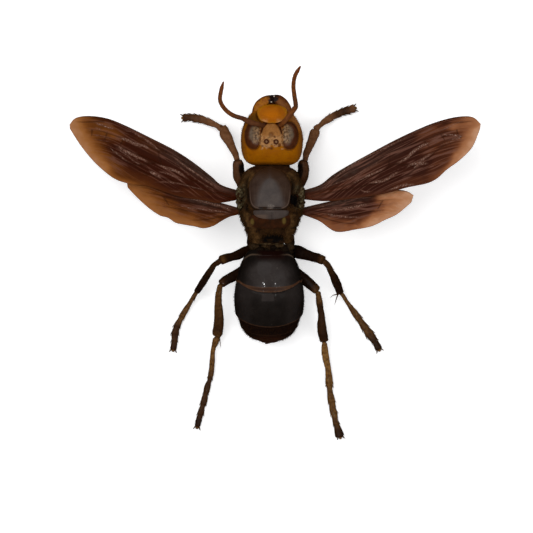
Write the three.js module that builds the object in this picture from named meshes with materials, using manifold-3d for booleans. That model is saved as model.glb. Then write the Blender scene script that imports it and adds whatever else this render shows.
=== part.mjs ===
// A giant hornet at life size, with its wings spread and its legs splayed on the ground.
// Millimetres. +X is to the hornet's right, +Y is towards its head, +Z is up, and its feet stand at Z = 0.

import * as THREE from 'three';
import { mergeVertices } from 'three/addons/utils/BufferGeometryUtils.js';
import Module from 'manifold-3d';

const wasm = await Module();
wasm.setup();

// Sizes that the whole model shares
const GAP = 0.3; // clear space between two pieces that meet
const WAIST = 0.48; // how far up a section its widest line lies
const CENTRE = { x: -0.1, y: -0.07 }; // middle of the whole outline, seen from above
const THROUGH = 20; // further than any body piece reaches from its middle
const FLOOR = { size: 200, depth: 10 };
const END_DROP = 0.75; // how far a limb's end closes in, squared

// The head capsule: place along the body, half width, top and bottom
const HEAD = { x: -0.72, power: 2.3, sides: 24, rings: 14 };
const HEAD_ROWS = [
  [16.1, 3.5, 11.3, 7.4],
  [16.5, 4.35, 12.1, 6.8],
  [17.3, 5.05, 12.8, 6.3],
  [18.6, 5.5, 13.35, 6.0],
  [20.6, 5.66, 13.6, 5.9],
  [22.4, 5.45, 13.2, 6.0],
  [23.8, 4.9, 12.4, 6.2],
  [25.0, 4.2, 11.2, 6.5],
  [26.2, 3.2, 9.7, 6.9],
];
const OCELLUS = { radius: 0.36, sides: 8, rings: 6, sink: 0.1 };
const OCELLI = [[-0.03, 21.5], [-0.95, 20.3], [0.83, 20.25]]; // across from the head's middle, along
const EYE = { across: 3.25, along: 21.5, long: 2.62, wide: 1.5, deep: 1.15, bow: 0.5, roll: 0.42, sunk: 1.6 };
const EYE_STEPS = { sides: 12, rings: 10, least: 0.03 };
const CLYPEUS = { start: 23.8, end: 27.1, high: 12.0, low: 9.15, wide: 2.68, thick: 0.85 };
const CLYPEUS_FORM = { x: 0.1, lift: 0.35, blunt: 0.3, edge: 0.6, corner: 2.6, power: 2.4 };
const CLYPEUS_STEPS = { sides: 14, rings: 8 };
const MANDIBLE = { thick: 1.0, thin: 0.6, base: 1.15, tip: 0.42, swell: 1.5, close: 0.1, sides: 10, rings: 9 };
const MANDIBLE_LEFT = [
  [-3.1, 24.7, 8.6], [-3.2, 25.9, 8.7], [-2.75, 27.0, 8.8], [-1.9, 27.85, 8.8], [-0.98, 28.35, 8.75],
];
const MANDIBLE_RIGHT = [
  [1.75, 24.7, 8.6], [1.85, 25.9, 8.7], [1.35, 27.0, 8.8], [0.6, 27.9, 8.8], [-0.3, 28.5, 8.75],
];

// Antennae: the scape from its socket to the elbow, then the flagellum to its tip
const SCAPE = { root: 0.5, wide: 0.42, sides: 8, rings: 7 };
const FLAGELLUM = { root: 0.34, tip: 0.26, joints: 11, flare: 0.035, close: 0.05, sides: 6 };
const ANTENNAE = {
  left: {
    scape: [[-2.3, 23.0, 12.3], [-3.3, 23.4, 13.5], [-4.6, 23.8, 13.7], [-6.0, 24.5, 13.1]],
    flagellum: [
      [-6.0, 24.5, 13.1], [-7.8, 25.1, 12.7], [-9.3, 26.3, 12.1], [-10.1, 27.8, 11.4], [-9.95, 29.5, 10.7],
      [-9.5, 31.3, 10.2]],
  },
  right: {
    scape: [[0.9, 23.1, 12.3], [1.6, 24.0, 13.4], [2.6, 25.2, 13.4], [3.6, 26.6, 12.7]],
    flagellum: [[3.6, 26.6, 12.7], [3.35, 28.8, 12.2], [3.2, 30.5, 11.6], [3.5, 32.3, 11.0], [4.5, 34.1, 10.5]],
  },
};

// The thorax, whole: place along the body, half width, top and bottom
const THORAX = { x: -0.95, power: 2.3, sides: 28, rings: 18 };
const THORAX_ROWS = [
  [15.8, 3.3, 12.6, 7.6],
  [15.2, 4.35, 13.5, 6.7],
  [14.2, 5.05, 14.2, 6.0],
  [12.3, 5.75, 14.75, 5.5],
  [10.0, 5.95, 15.0, 5.3],
  [8.0, 5.9, 14.9, 5.3],
  [6.5, 5.5, 14.3, 5.6],
  [5.2, 4.95, 13.6, 6.1],
  [3.8, 4.4, 12.8, 6.9],
  [1.9, 3.45, 11.7, 8.6],
];
const SCUTUM = { x: -1.15, half: 4.0, shoulder: 12.0, front: 15.0, back: 7.85, low: 11.9, arcs: 12 };
const SCUTELLUM = { x: -1.0, half: 3.35, front: 7.55, side: 6.9, back: 6.2, low: 12.6, arcs: 6 };
const METANOTUM = { front: 7.4, back: 4.5, low: 11.4 };
const PRONOTUM = { tegula: [10.6, 12.3], collar: [15.3, 6.4] }; // along and up, at its two lower corners
const TEGULA = { across: 5.25, along: 10.9, up: 13.0, wide: 0.95, long: 1.35, thick: 0.55 };
const TEGULA_STEPS = { sides: 12, rings: 8 };

// The waist and the gaster, whose axis runs back and down
const PETIOLE = { x: -1.05, from: [2.3, 10.1], to: [0.1, 9.6], half: 1.5, height: 1.05, sides: 12, rings: 6 };
const GASTER = { x: -1.2, y: 1.3, z: 10.1, tilt: 20, power: 2.15, sides: 24 };
const GASTER_ROWS = [ // place along the axis, half width, reach above and below the axis
  [0.3, 2.3, 2.0, 2.0],
  [1.0, 3.75, 3.0, 2.9],
  [2.3, 4.64, 3.9, 3.4],
  [3.9, 5.33, 4.5, 3.75],
  [6.1, 5.88, 5.0, 4.15],
  [8.4, 6.26, 5.3, 4.5],
  [10.5, 6.39, 5.4, 4.7],
  [12.2, 6.22, 5.25, 4.6],
  [13.7, 5.75, 4.85, 4.3],
  [15.4, 5.0, 4.1, 3.9],
  [16.7, 3.95, 3.2, 3.1],
  [17.6, 2.6, 2.1, 2.1],
  [18.2, 1.25, 1.1, 1.1],
];
const SEGMENT_ENDS = [0.3, 6.15, 13.7, 15.8, 16.8, 17.5, 18.1]; // ends of the rings
// Each ring's front and back margin takes up one part in edge of its length
const SEGMENT = { tuck: 0.045, flare: 0.012, edge: 5, long: 2, rings: 8, endRings: 5 };
const HALVINGS = 30; // how often a search along the gaster halves its range
const STING = { length: 0.95, root: 0.5, tip: 0.14, sides: 8, rings: 5 };

// Legs: every joint from the hip to the last foot segment, and the two claw tips
const LEG = { coxa: 1.05, hip: 0.8, sides: 8, coxaRings: 6, rings: 7 };
const FEMUR = { slim: 0.78, swell: 0.22, fullest: 1.15, close: 0.12 };
const TIBIA = { widen: 0.8, flat: 0.8, close: 0.08 };
const SPUR = { thick: 0.17, thin: 0.7, apart: 0.5, back: 0.5, length: 1.7, drop: 0.3, sides: 4, rings: 4 };
const TARSUS = { joints: [0, 0.46, 0.63, 0.75, 0.85, 1], root: 0.442, tip: 0.391, flare: 1.45, notch: 0.006 };
const CLAW = { thick: 0.21, tip: 0.08, high: 0.5, low: 0.2, sides: 4, rings: 4 };
const CLAW_REACH = { back: 0.3, apart: 0.2, bend: 0.35, bendOut: 0.64, ahead: 0.75, out: 0.8 };
const LEGS = {
  front_left: {
    hips: [[-3.2, 12.9, 6.6], [-5.2, 12.2, 4.4]], knee: [-6.72, 17.1, 6.3], ankle: [-9.6, 23.2, 2.9],
    foot: [[-12.3, 24.25, 1.3], [-14.5, 24.85, 0.6], [-16.6, 24.95, 0.5]],
    thigh: 0.92, shin: [0.5, 0.8],
  },
  front_right: {
    hips: [[1.3, 12.9, 6.6], [3.4, 12.2, 4.4]], knee: [5.15, 17.0, 6.3], ankle: [7.35, 22.6, 2.9],
    foot: [[9.4, 24.9, 1.3], [11.8, 26.0, 0.6], [14.2, 26.6, 0.5]],
    thigh: 0.95, shin: [0.52, 0.86],
  },
  middle_left: {
    hips: [[-3.3, 6.9, 6.3], [-4.55, 1.2, 4.4]], knee: [-10.05, -1.1, 8.2], ankle: [-14.56, -7.0, 2.1],
    foot: [[-17.1, -11.2, 0.8], [-18.3, -14.7, 0.55], [-18.75, -17.3, 0.5]],
    thigh: 0.8, shin: [0.5, 0.62],
  },
  middle_right: {
    hips: [[1.4, 6.9, 6.3], [2.75, 1.2, 4.4]], knee: [8.75, -1.15, 8.2], ankle: [11.8, -7.2, 2.1],
    foot: [[15.3, -12.1, 0.8], [17.4, -14.9, 0.55], [18.8, -17.3, 0.5]],
    thigh: 0.88, shin: [0.55, 0.75],
  },
  hind_left: {
    hips: [[-2.1, 4.4, 6.9], [-2.5, -0.9, 3.2]], knee: [-10.1, -5.6, 6.2], ankle: [-10.75, -15.1, 2.3],
    foot: [[-11.8, -22.0, 0.8], [-12.9, -25.4, 0.6], [-13.4, -28.2, 0.5], [-14.2, -31.5, 0.5]],
    thigh: 0.8, shin: [0.55, 0.9],
  },
  hind_right: {
    hips: [[0.2, 4.4, 6.9], [0.6, -0.9, 3.2]], knee: [7.75, -6.75, 5.9], ankle: [8.85, -16.1, 2.3],
    foot: [[9.85, -23.4, 0.8], [10.5, -27.6, 0.6], [10.8, -30.3, 0.5], [11.8, -33.3, 0.5]],
    thigh: 0.88, shin: [0.55, 0.95],
  },
};

// Wings: the front and the back edge of each, point against point from the root to the tip, along X and Y
const WING = { thick: 0.5, rootThick: 0.9, thins: 5, rise: 1.4, reach: 33, camber: 0.35, rows: 3, columns: 12 };
const VEIN = { wide: 0.5, high: 0.47, taper: 0.25, sides: 3, extraRings: 3 };

// Main veins: place along the wing, 0 at the root and 1 at the tip, and across it, 0 at the front edge
const FOREWING_VEINS = [
  [[0.04, 0.04], [0.35, 0.035], [0.72, 0.05]], // along the front edge
  [[0.05, 0.2], [0.4, 0.13], [0.66, 0.13], [0.74, 0.08]], // to the dark spot near the front edge
  [[0.72, 0.07], [0.84, 0.15], [0.93, 0.08]], // round the cell behind that spot
  [[0.42, 0.13], [0.55, 0.22], [0.74, 0.27], [0.88, 0.33]],
  [[0.06, 0.45], [0.28, 0.47], [0.44, 0.42], [0.64, 0.43], [0.86, 0.5]],
  [[0.41, 0.43], [0.46, 0.15]],
  [[0.44, 0.43], [0.54, 0.62], [0.68, 0.52], [0.8, 0.6]],
  [[0.06, 0.65], [0.28, 0.64], [0.44, 0.74], [0.56, 0.9]],
  [[0.44, 0.74], [0.54, 0.62]],
  [[0.6, 0.24], [0.62, 0.43]],
  [[0.7, 0.26], [0.72, 0.45]],
  [[0.79, 0.3], [0.8, 0.47]],
];
const HINDWING_VEINS = [
  [[0.07, 0.06], [0.4, 0.06], [0.75, 0.08]], // along the front edge
  [[0.08, 0.25], [0.35, 0.26], [0.62, 0.28], [0.9, 0.42]],
  [[0.08, 0.45], [0.32, 0.5], [0.55, 0.55], [0.78, 0.72]],
  [[0.08, 0.65], [0.3, 0.72], [0.48, 0.86]],
  [[0.58, 0.28], [0.56, 0.55]],
];
const WINGS = {
  forewing_left: {
    z: 12.1,
    lead: [[-5.7, 11.2], [-9.7, 12.4], [-11.8, 14.1], [-15.0, 16.6], [-18.4, 18.8], [-22.7, 21.0], [-27.2, 23.2],
      [-30.5, 24.5], [-33.8, 24.9], [-36.0, 24.6], [-37.4, 23.7]],
    trail: [[-5.7, 10.0], [-10.3, 9.2], [-13.2, 9.7], [-17.3, 10.3], [-22.9, 12.1], [-25.9, 12.5], [-28.7, 13.3],
      [-30.7, 14.5], [-33.0, 16.4], [-35.3, 19.4], [-37.2, 22.3]],
  },
  forewing_right: {
    z: 12.1,
    lead: [[3.8, 11.2], [7.8, 12.4], [10.2, 14.2], [12.6, 15.7], [17.1, 18.2], [21.6, 20.6], [26.1, 22.7],
      [29.5, 24.0], [32.9, 24.8], [35.3, 24.8], [37.2, 24.1]],
    trail: [[3.8, 10.0], [8.9, 9.5], [13.9, 10.0], [19.3, 10.8], [23.9, 12.0], [27.3, 12.7], [29.2, 13.5],
      [31.0, 15.2], [33.1, 16.9], [35.1, 18.7], [37.1, 22.4]],
  },
  hindwing_left: {
    z: 10.5,
    lead: [[-5.7, 8.0], [-8.7, 8.9], [-12.9, 10.0], [-17.4, 11.1], [-21.1, 12.1], [-23.8, 12.9], [-25.8, 13.1],
      [-27.0, 12.8]],
    trail: [[-5.7, 7.3], [-9.1, 6.1], [-13.0, 4.6], [-16.1, 5.3], [-19.7, 6.5], [-22.7, 8.0], [-24.9, 9.9],
      [-26.9, 12.0]],
  },
  hindwing_right: {
    z: 10.5,
    lead: [[3.8, 8.1], [8.8, 9.3], [12.6, 10.1], [16.2, 10.9], [19.9, 11.4], [22.2, 11.6], [23.9, 11.3],
      [25.0, 10.6]],
    trail: [[3.8, 7.4], [7.7, 6.0], [10.9, 4.0], [14.6, 4.4], [17.5, 5.0], [19.8, 6.1], [22.1, 7.2],
      [24.6, 9.3]],
  },
};

const COLOURS = {
  capsule: [0x8f5a0c, 0.45], clypeus: [0xbd6c0c, 0.4], mandible: [0x6d3d12, 0.35], eye: [0x4a2412, 0.25],
  antenna: [0x5b3320, 0.5], thorax: [0x3a2c1c, 0.7], scutum: [0x463b36, 0.5], metanotum: [0x3c2212, 0.6],
  gaster: [0x24211f, 0.35], tail: [0x3a1f12, 0.4], leg: [0x2c1a10, 0.45], foot: [0x5a4022, 0.55],
  wing: [0x4a2210, 0.4],
};

const point = ([x, y, z]) => new THREE.Vector3(x, y, z);
const up = new THREE.Vector3(0, 0, 1);

// A closed skin with a cap at each end. ringAt gives, for each place from 0 to 1, the ring's centre,
// its reach across, up and down as vectors, and how square it is.
function spindle(sides, rings, ringAt) {
  const geometry = new THREE.SphereGeometry(1, sides, rings);
  const { position, uv } = geometry.attributes;
  for (let i = 0; i < position.count; i += 1) {
    const row = Math.round((1 - uv.getY(i)) * rings);
    const ring = ringAt(THREE.MathUtils.clamp((row - 1) / (rings - 2), 0, 1));
    const spot = ring.centre.clone();
    if (row > 0 && row < rings) {
      const angle = 2 * Math.PI * uv.getX(i);
      const sharp = 2 / ring.power;
      const side = Math.sign(Math.cos(angle)) * Math.abs(Math.cos(angle)) ** sharp;
      const height = Math.sin(angle);
      spot.addScaledVector(ring.across, side);
      spot.addScaledVector(height > 0 ? ring.above : ring.below, Math.abs(height) ** sharp);
    }
    position.setXYZ(i, spot.x, spot.y, spot.z);
  }
  return geometry;
}

// Smooth lines through rows of sizes, each drawn against the first size of its row
function smoothRows(rows) {
  const curves = rows[0].slice(1).map((size, k) => (
    new THREE.SplineCurve(rows.map((row) => new THREE.Vector2(row[0], row[k + 1])))));
  return (t) => {
    const spots = curves.map((curve) => curve.getPoint(t));
    return [spots[0].x, ...spots.map((spot) => spot.y)];
  };
}

// A body piece that lies along Y, from rows of place, half width, top and bottom
function trunk(rows, { x, power, sides, rings }, grow = 0) {
  const sizes = smoothRows(rows);
  const middle = (rows[0][0] + rows[rows.length - 1][0]) / 2;
  return spindle(sides, rings, (t) => {
    const [y, half, top, bottom] = sizes(t);
    const waist = bottom + WAIST * (top - bottom);
    return {
      centre: new THREE.Vector3(x, y + grow * Math.sign(y - middle), waist),
      across: new THREE.Vector3(Math.sign(rows[rows.length - 1][0] - middle) * (half + grow), 0, 0),
      above: new THREE.Vector3(0, 0, top - waist + grow),
      below: new THREE.Vector3(0, 0, bottom - waist - grow),
      power,
    };
  });
}

// A limb along a smooth line. sizeAt gives its half width and half thickness at each place from 0 to 1.
function limb(points, sizeAt, sides, rings, { grow = 0, roll = 0, power = 2 } = {}) {
  const path = new THREE.CatmullRomCurve3(points.map(point));
  return spindle(sides, rings, (t) => {
    const ahead = path.getTangentAt(t);
    const across = ahead.clone().cross(up).normalize().applyAxisAngle(ahead, roll);
    const above = across.clone().cross(ahead).normalize();
    const [wide, thick] = sizeAt(t);
    return {
      centre: path.getPointAt(t).addScaledVector(ahead, grow * (2 * t - 1)),
      across: across.multiplyScalar(wide + grow),
      above: above.clone().multiplyScalar(thick + grow),
      below: above.clone().multiplyScalar(-thick - grow),
      power,
    };
  });
}

// Round ends for a limb: its full size in the middle, closing in over the last stretch at each end
function rounded(t, stretch) {
  const inside = Math.min(t, 1 - t, stretch) / stretch;
  return Math.sqrt(1 - (1 - inside) ** 2 * END_DROP);
}

const taper = (from, to, t, stretch = 0.12) => THREE.MathUtils.lerp(from, to, t) * rounded(t, stretch);

// Closed geometry to a solid that can be cut and joined
function solid(geometry) {
  geometry.deleteAttribute('normal');
  geometry.deleteAttribute('uv');
  const merged = mergeVertices(geometry, 1e-5);
  return new wasm.Manifold(new wasm.Mesh({
    numProp: 3,
    vertProperties: new Float32Array(merged.attributes.position.array),
    triVerts: new Uint32Array(merged.index.array),
  }));
}

// Back from a solid to geometry, keeping its largest closed surface
function largest(shape) {
  const bodies = shape.decompose();
  const body = bodies.reduce((best, each) => (each.volume() > best.volume() ? each : best));
  const { vertProperties, triVerts } = body.getMesh();
  const geometry = new THREE.BufferGeometry();
  geometry.setAttribute('position', new THREE.BufferAttribute(vertProperties, 3));
  geometry.setIndex(new THREE.BufferAttribute(triVerts, 1));
  geometry.computeVertexNormals();
  return geometry;
}

const cutAll = (shape, cutters) => cutters.reduce((left, cutter) => left.subtract(cutter), shape);
const joinAll = (shape, extras) => extras.reduce((left, extra) => left.add(extra), shape);

function part(name, shape, [colour, roughness]) {
  const material = new THREE.MeshStandardMaterial({ color: colour, roughness, metalness: 0 });
  const mesh = new THREE.Mesh(largest(shape), material);
  mesh.name = name;
  return mesh;
}

// A straight-sided block over an outline drawn in X and Y, between two heights
function standing(outline, low, high) {
  const shape = new THREE.Shape(outline.map(([x, y]) => new THREE.Vector2(x, y)));
  const geometry = new THREE.ExtrudeGeometry(shape, { depth: high - low, bevelEnabled: false });
  return solid(geometry.translate(0, 0, low));
}

// The same over an outline drawn in Y and Z, right through the body from side to side
function sideways(outline) {
  const shape = new THREE.Shape(outline.map(([y, z]) => new THREE.Vector2(y, z)));
  const geometry = new THREE.ExtrudeGeometry(shape, { depth: 2 * THROUGH, bevelEnabled: false });
  geometry.translate(0, 0, -THROUGH);
  geometry.applyMatrix4(new THREE.Matrix4().makeBasis(
    new THREE.Vector3(0, 1, 0), new THREE.Vector3(0, 0, 1), new THREE.Vector3(1, 0, 0)));
  return solid(geometry);
}

const belowFloor = () => (
  solid(new THREE.BoxGeometry(FLOOR.size, FLOOR.size, FLOOR.depth).translate(0, 0, -FLOOR.depth / 2)));

// Head
const headShape = (grow) => solid(trunk(HEAD_ROWS, HEAD, grow));

// Height of the head's upper face on its middle line
function headTop(y) {
  const next = Math.max(1, HEAD_ROWS.findIndex((row) => row[0] > y));
  const [before, after] = HEAD_ROWS.slice(next - 1, next + 1);
  return THREE.MathUtils.mapLinear(y, before[0], after[0], before[2], after[2]);
}

function eyeShape(side, grow = 0) {
  const x = HEAD.x + side * EYE.across;
  const points = [-1, -0.5, 0, 0.5, 1].map((step) => {
    const y = EYE.along + step * EYE.long;
    return [x + side * EYE.bow * (0.5 - step * step), y, headTop(y) - EYE.sunk];
  });
  const round = (t) => Math.sqrt(Math.max(EYE_STEPS.least, 1 - (2 * t - 1) ** 2));
  const size = (t) => [EYE.wide * round(t), EYE.deep * round(t)];
  return solid(limb(points, size, EYE_STEPS.sides, EYE_STEPS.rings, { grow, roll: side * EYE.roll }));
}

function clypeusShape(grow = 0) {
  const { x, lift, blunt, edge, corner, power } = CLYPEUS_FORM;
  const { sides, rings } = CLYPEUS_STEPS;
  const points = [0, 0.5, 1].map((t) => [
    HEAD.x + x,
    THREE.MathUtils.lerp(CLYPEUS.start, CLYPEUS.end, t),
    THREE.MathUtils.lerp(CLYPEUS.high, CLYPEUS.low, t) - lift + lift * Math.sin(Math.PI * t)]);
  const size = (t) => {
    const round = Math.sqrt(Math.max(blunt, 1 - Math.abs(2 * t - 1) ** corner));
    return [CLYPEUS.wide * round, CLYPEUS.thick * Math.max(edge, round)];
  };
  return solid(limb(points, size, sides, rings, { grow, power }));
}

function mandibleShape(points) {
  const size = (t) => {
    const wide = taper(MANDIBLE.base, MANDIBLE.tip, t ** MANDIBLE.swell, MANDIBLE.close);
    return [wide, THREE.MathUtils.lerp(MANDIBLE.thin, MANDIBLE.thick, wide / MANDIBLE.base)];
  };
  return solid(limb(points, size, MANDIBLE.sides, MANDIBLE.rings));
}

function ocelli() {
  return OCELLI.map(([across, y]) => {
    const ball = new THREE.SphereGeometry(OCELLUS.radius, OCELLUS.sides, OCELLUS.rings);
    return solid(ball.translate(HEAD.x + across, y, headTop(y) - OCELLUS.sink));
  });
}

function scapeShape(points, grow = 0) {
  const size = (t) => [taper(SCAPE.root, SCAPE.wide, t), taper(SCAPE.root, SCAPE.wide, t)];
  return solid(limb(points, size, SCAPE.sides, SCAPE.rings, { grow }));
}

function flagellumShape(points) {
  const rings = 2 * FLAGELLUM.joints + 3;
  const size = (t) => {
    const bulge = FLAGELLUM.flare * Math.sin(Math.PI * ((t * FLAGELLUM.joints) % 1));
    const round = taper(FLAGELLUM.root, FLAGELLUM.tip, t, FLAGELLUM.close) + bulge;
    return [round, round];
  };
  return solid(limb(points, size, FLAGELLUM.sides, rings));
}

function buildHead() {
  const group = new THREE.Group();
  const grown = headShape(GAP);
  const sides = { left: -1, right: 1 };
  const pockets = [clypeusShape(GAP), eyeShape(-1, GAP), eyeShape(1, GAP)];
  group.add(part('head', cutAll(joinAll(headShape(0), ocelli()), pockets), COLOURS.capsule));
  group.add(part('clypeus', clypeusShape(), COLOURS.clypeus));
  const jaws = { left: MANDIBLE_LEFT, right: MANDIBLE_RIGHT };
  Object.entries(sides).forEach(([name, side]) => {
    group.add(part(`eye_${name}`, eyeShape(side), COLOURS.eye));
    const jaw = cutAll(mandibleShape(jaws[name]), [grown, pockets[0]]);
    group.add(part(`mandible_${name}`, jaw, COLOURS.mandible));
    const { scape, flagellum } = ANTENNAE[name];
    group.add(part(`scape_${name}`, scapeShape(scape).subtract(grown), COLOURS.antenna));
    const whip = flagellumShape(flagellum).subtract(scapeShape(scape, GAP));
    group.add(part(`flagellum_${name}`, whip, COLOURS.antenna));
  });
  return group;
}

// Thorax
const thoraxShape = (grow) => solid(trunk(THORAX_ROWS, THORAX, grow));

function scutumBlock(grow) {
  const { x, half, shoulder, front, back, low, arcs } = SCUTUM;
  const arch = Array.from({ length: arcs + 1 }, (_, i) => {
    const angle = (Math.PI * i) / arcs;
    return [x + (half + grow) * Math.cos(angle), shoulder + (front - shoulder + grow) * Math.sin(angle)];
  });
  const corners = [[x - half - grow, back - grow], [x + half + grow, back - grow]];
  return standing([...arch, ...corners], low - grow, THROUGH);
}

function scutellumBlock(grow) {
  const { x, half, front, side, back, low, arcs } = SCUTELLUM;
  const bow = Array.from({ length: arcs + 1 }, (_, i) => {
    const angle = Math.PI + (Math.PI * i) / arcs;
    return [x + (half + grow) * Math.cos(angle), side - grow + (side - back) * Math.sin(angle)];
  });
  const corners = [[x + half + grow, front + grow], [x - half - grow, front + grow]];
  return standing([...bow, ...corners], low - grow, THROUGH);
}

function metanotumBlock(grow) {
  const { front, back, low } = METANOTUM;
  return sideways([
    [back - grow, low - grow], [front + grow, low - grow], [front + grow, THROUGH], [back - grow, THROUGH]]);
}

function pronotumBlock(grow) {
  const [backY, backZ] = PRONOTUM.tegula;
  const [frontY, frontZ] = PRONOTUM.collar;
  const shift = grow * Math.SQRT1_2;
  return sideways([
    [backY - shift, backZ - shift], [frontY - shift, frontZ - shift], [THROUGH, frontZ - shift],
    [THROUGH, THROUGH], [backY - grow, THROUGH]]);
}

const behind = (y) => sideways([[-THROUGH, 0], [y, 0], [y, THROUGH], [-THROUGH, THROUGH]]);

function tegulaShape(side, grow = 0) {
  const ball = new THREE.SphereGeometry(1, TEGULA_STEPS.sides, TEGULA_STEPS.rings);
  ball.scale(TEGULA.wide + grow, TEGULA.long + grow, TEGULA.thick + grow);
  return solid(ball.translate(THORAX.x + side * TEGULA.across, TEGULA.along, TEGULA.up));
}

function petioleShape(grow = 0) {
  const points = [PETIOLE.from, PETIOLE.to].map(([y, z]) => [PETIOLE.x, y, z]);
  const size = () => [PETIOLE.half, PETIOLE.height];
  return solid(limb(points, size, PETIOLE.sides, PETIOLE.rings, { grow }));
}

function buildThorax() {
  const group = new THREE.Group();
  const whole = thoraxShape(0);
  const grown = thoraxShape(GAP);
  const scutum = scutumBlock(GAP);
  const scutellum = scutellumBlock(GAP);
  const cuts = [scutum, scutellum, metanotumBlock(GAP), pronotumBlock(GAP), behind(METANOTUM.back)];
  const pieces = {
    mesoscutum: [whole.intersect(scutumBlock(0)), COLOURS.scutum],
    scutellum: [whole.intersect(scutellumBlock(0)).subtract(scutum), COLOURS.scutum],
    metanotum: [cutAll(whole.intersect(metanotumBlock(0)), [scutum, scutellum]), COLOURS.metanotum],
    pronotum: [whole.intersect(pronotumBlock(0)).subtract(scutum), COLOURS.thorax],
    propodeum: [whole.intersect(behind(METANOTUM.back - GAP)).subtract(petioleShape(GAP)), COLOURS.thorax],
    thorax_side: [cutAll(whole, cuts), COLOURS.thorax],
    petiole: [petioleShape(), COLOURS.thorax],
    tegula_left: [tegulaShape(-1).subtract(grown), COLOURS.thorax],
    tegula_right: [tegulaShape(1).subtract(grown), COLOURS.thorax],
  };
  Object.entries(pieces).forEach(([name, [shape, colour]]) => group.add(part(name, shape, colour)));
  return group;
}

// Gaster
function gasterRing(sizes, scale) {
  const [along, half, above, below] = sizes;
  const tilt = THREE.MathUtils.degToRad(GASTER.tilt);
  const back = new THREE.Vector3(0, -Math.cos(tilt), -Math.sin(tilt));
  const rise = new THREE.Vector3(0, -Math.sin(tilt), Math.cos(tilt));
  return {
    centre: new THREE.Vector3(GASTER.x, GASTER.y, GASTER.z).addScaledVector(back, along),
    across: new THREE.Vector3(-half * scale, 0, 0),
    above: rise.clone().multiplyScalar(above * scale),
    below: rise.clone().multiplyScalar(-below * scale),
    power: GASTER.power,
  };
}

// Sizes of the gaster at one place along its axis
function gasterSizes(along) {
  const sizes = smoothRows(GASTER_ROWS);
  let low = 0;
  let high = 1;
  for (let step = 0; step < HALVINGS; step += 1) {
    const middle = (low + high) / 2;
    if (sizes(middle)[0] < along) low = middle;
    else high = middle;
  }
  return sizes(low);
}

// One ring: tucked in a little at its front, where the ring before it laps over, and flared at its back
function segmentShape(start, end, rings) {
  return solid(spindle(GASTER.sides, rings, (t) => {
    const tuck = SEGMENT.tuck * (1 - Math.min(1, SEGMENT.edge * t));
    const flare = SEGMENT.flare * Math.max(0, 1 - SEGMENT.edge * (1 - t));
    return gasterRing(gasterSizes(THREE.MathUtils.lerp(start, end, t)), 1 - tuck + flare);
  }));
}

function stingShape() {
  const last = SEGMENT_ENDS[SEGMENT_ENDS.length - 1];
  const [root, tip] = [GAP, GAP + STING.length].map((past) => gasterRing([last + past, 0, 0, 0], 1).centre);
  const size = (t) => [taper(STING.root, STING.tip, t), taper(STING.root, STING.tip, t)];
  return solid(limb([root.toArray(), tip.toArray()], size, STING.sides, STING.rings));
}

function buildGaster() {
  const group = new THREE.Group();
  SEGMENT_ENDS.slice(1).forEach((end, i) => {
    const start = SEGMENT_ENDS[i] + (i > 0 ? GAP : 0);
    const rings = end - start > SEGMENT.long ? SEGMENT.rings : SEGMENT.endRings;
    const shape = segmentShape(start, end, rings);
    const colour = i < 3 ? COLOURS.gaster : COLOURS.tail;
    group.add(part(`gaster_${i + 1}`, i === 0 ? shape.subtract(petioleShape(GAP)) : shape, colour));
  });
  group.add(part('sting', stingShape(), COLOURS.tail));
  return group;
}

// Legs
function coxaShape({ hips }, grow = 0) {
  const size = (t) => [taper(LEG.coxa, LEG.hip, t), taper(LEG.coxa, LEG.hip, t)];
  return solid(limb(hips, size, LEG.sides, LEG.coxaRings, { grow }));
}

function femurShape({ hips, knee, thigh }, grow = 0) {
  const size = (t) => {
    const swell = FEMUR.slim + FEMUR.swell * Math.sin(Math.PI * Math.min(1, t * FEMUR.fullest));
    const round = thigh * swell * rounded(t, FEMUR.close);
    return [round, round];
  };
  return solid(limb([hips[1], knee], size, LEG.sides, LEG.rings, { grow }));
}

function tibiaShape({ knee, ankle, shin }, grow = 0) {
  const size = (t) => [
    taper(shin[0], shin[1], t ** TIBIA.widen, TIBIA.close),
    taper(shin[0], shin[1] * TIBIA.flat, t, TIBIA.close)];
  return solid(limb([knee, ankle], size, LEG.sides, LEG.rings, { grow }));
}

// Two spurs at the end of the tibia, on its inner side
function spurs({ knee, ankle, shin }, grow = 0) {
  const along = point(ankle).sub(point(knee)).normalize();
  const across = along.clone().cross(up).normalize();
  return [-SPUR.apart, SPUR.apart].map((side) => {
    const root = point(ankle).addScaledVector(along, -SPUR.back).addScaledVector(across, side * shin[1]);
    const tip = root.clone().addScaledVector(along, SPUR.length).addScaledVector(across, side);
    tip.z = Math.max(SPUR.thick, tip.z - SPUR.drop);
    const size = (t) => [SPUR.thick * (1 - SPUR.thin * t), SPUR.thick * (1 - SPUR.thin * t)];
    return solid(limb([root.toArray(), tip.toArray()], size, SPUR.sides, SPUR.rings, { grow }));
  });
}

// Five foot segments, each flaring to its end
function tarsusShape({ ankle, foot }) {
  const stations = TARSUS.joints.slice(1).flatMap((end, i) => [TARSUS.joints[i], end]);
  const points = [ankle, ...foot];
  const path = new THREE.CatmullRomCurve3(points.map(point));
  return solid(spindle(LEG.sides, stations.length + 2, (t) => {
    const index = Math.round(t * (stations.length - 1));
    const starts = index % 2 === 0;
    const place = THREE.MathUtils.clamp(stations[index] + (starts ? 1 : -1) * TARSUS.notch, 0, 1);
    const ahead = path.getTangentAt(place);
    const across = ahead.clone().cross(up).normalize();
    const above = across.clone().cross(ahead).normalize();
    const round = THREE.MathUtils.lerp(TARSUS.root, TARSUS.tip, place) * (starts ? 1 : TARSUS.flare);
    return {
      centre: path.getPointAt(place),
      across: across.multiplyScalar(round),
      above: above.clone().multiplyScalar(round),
      below: above.clone().multiplyScalar(-round),
      power: 2,
    };
  }));
}

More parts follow.
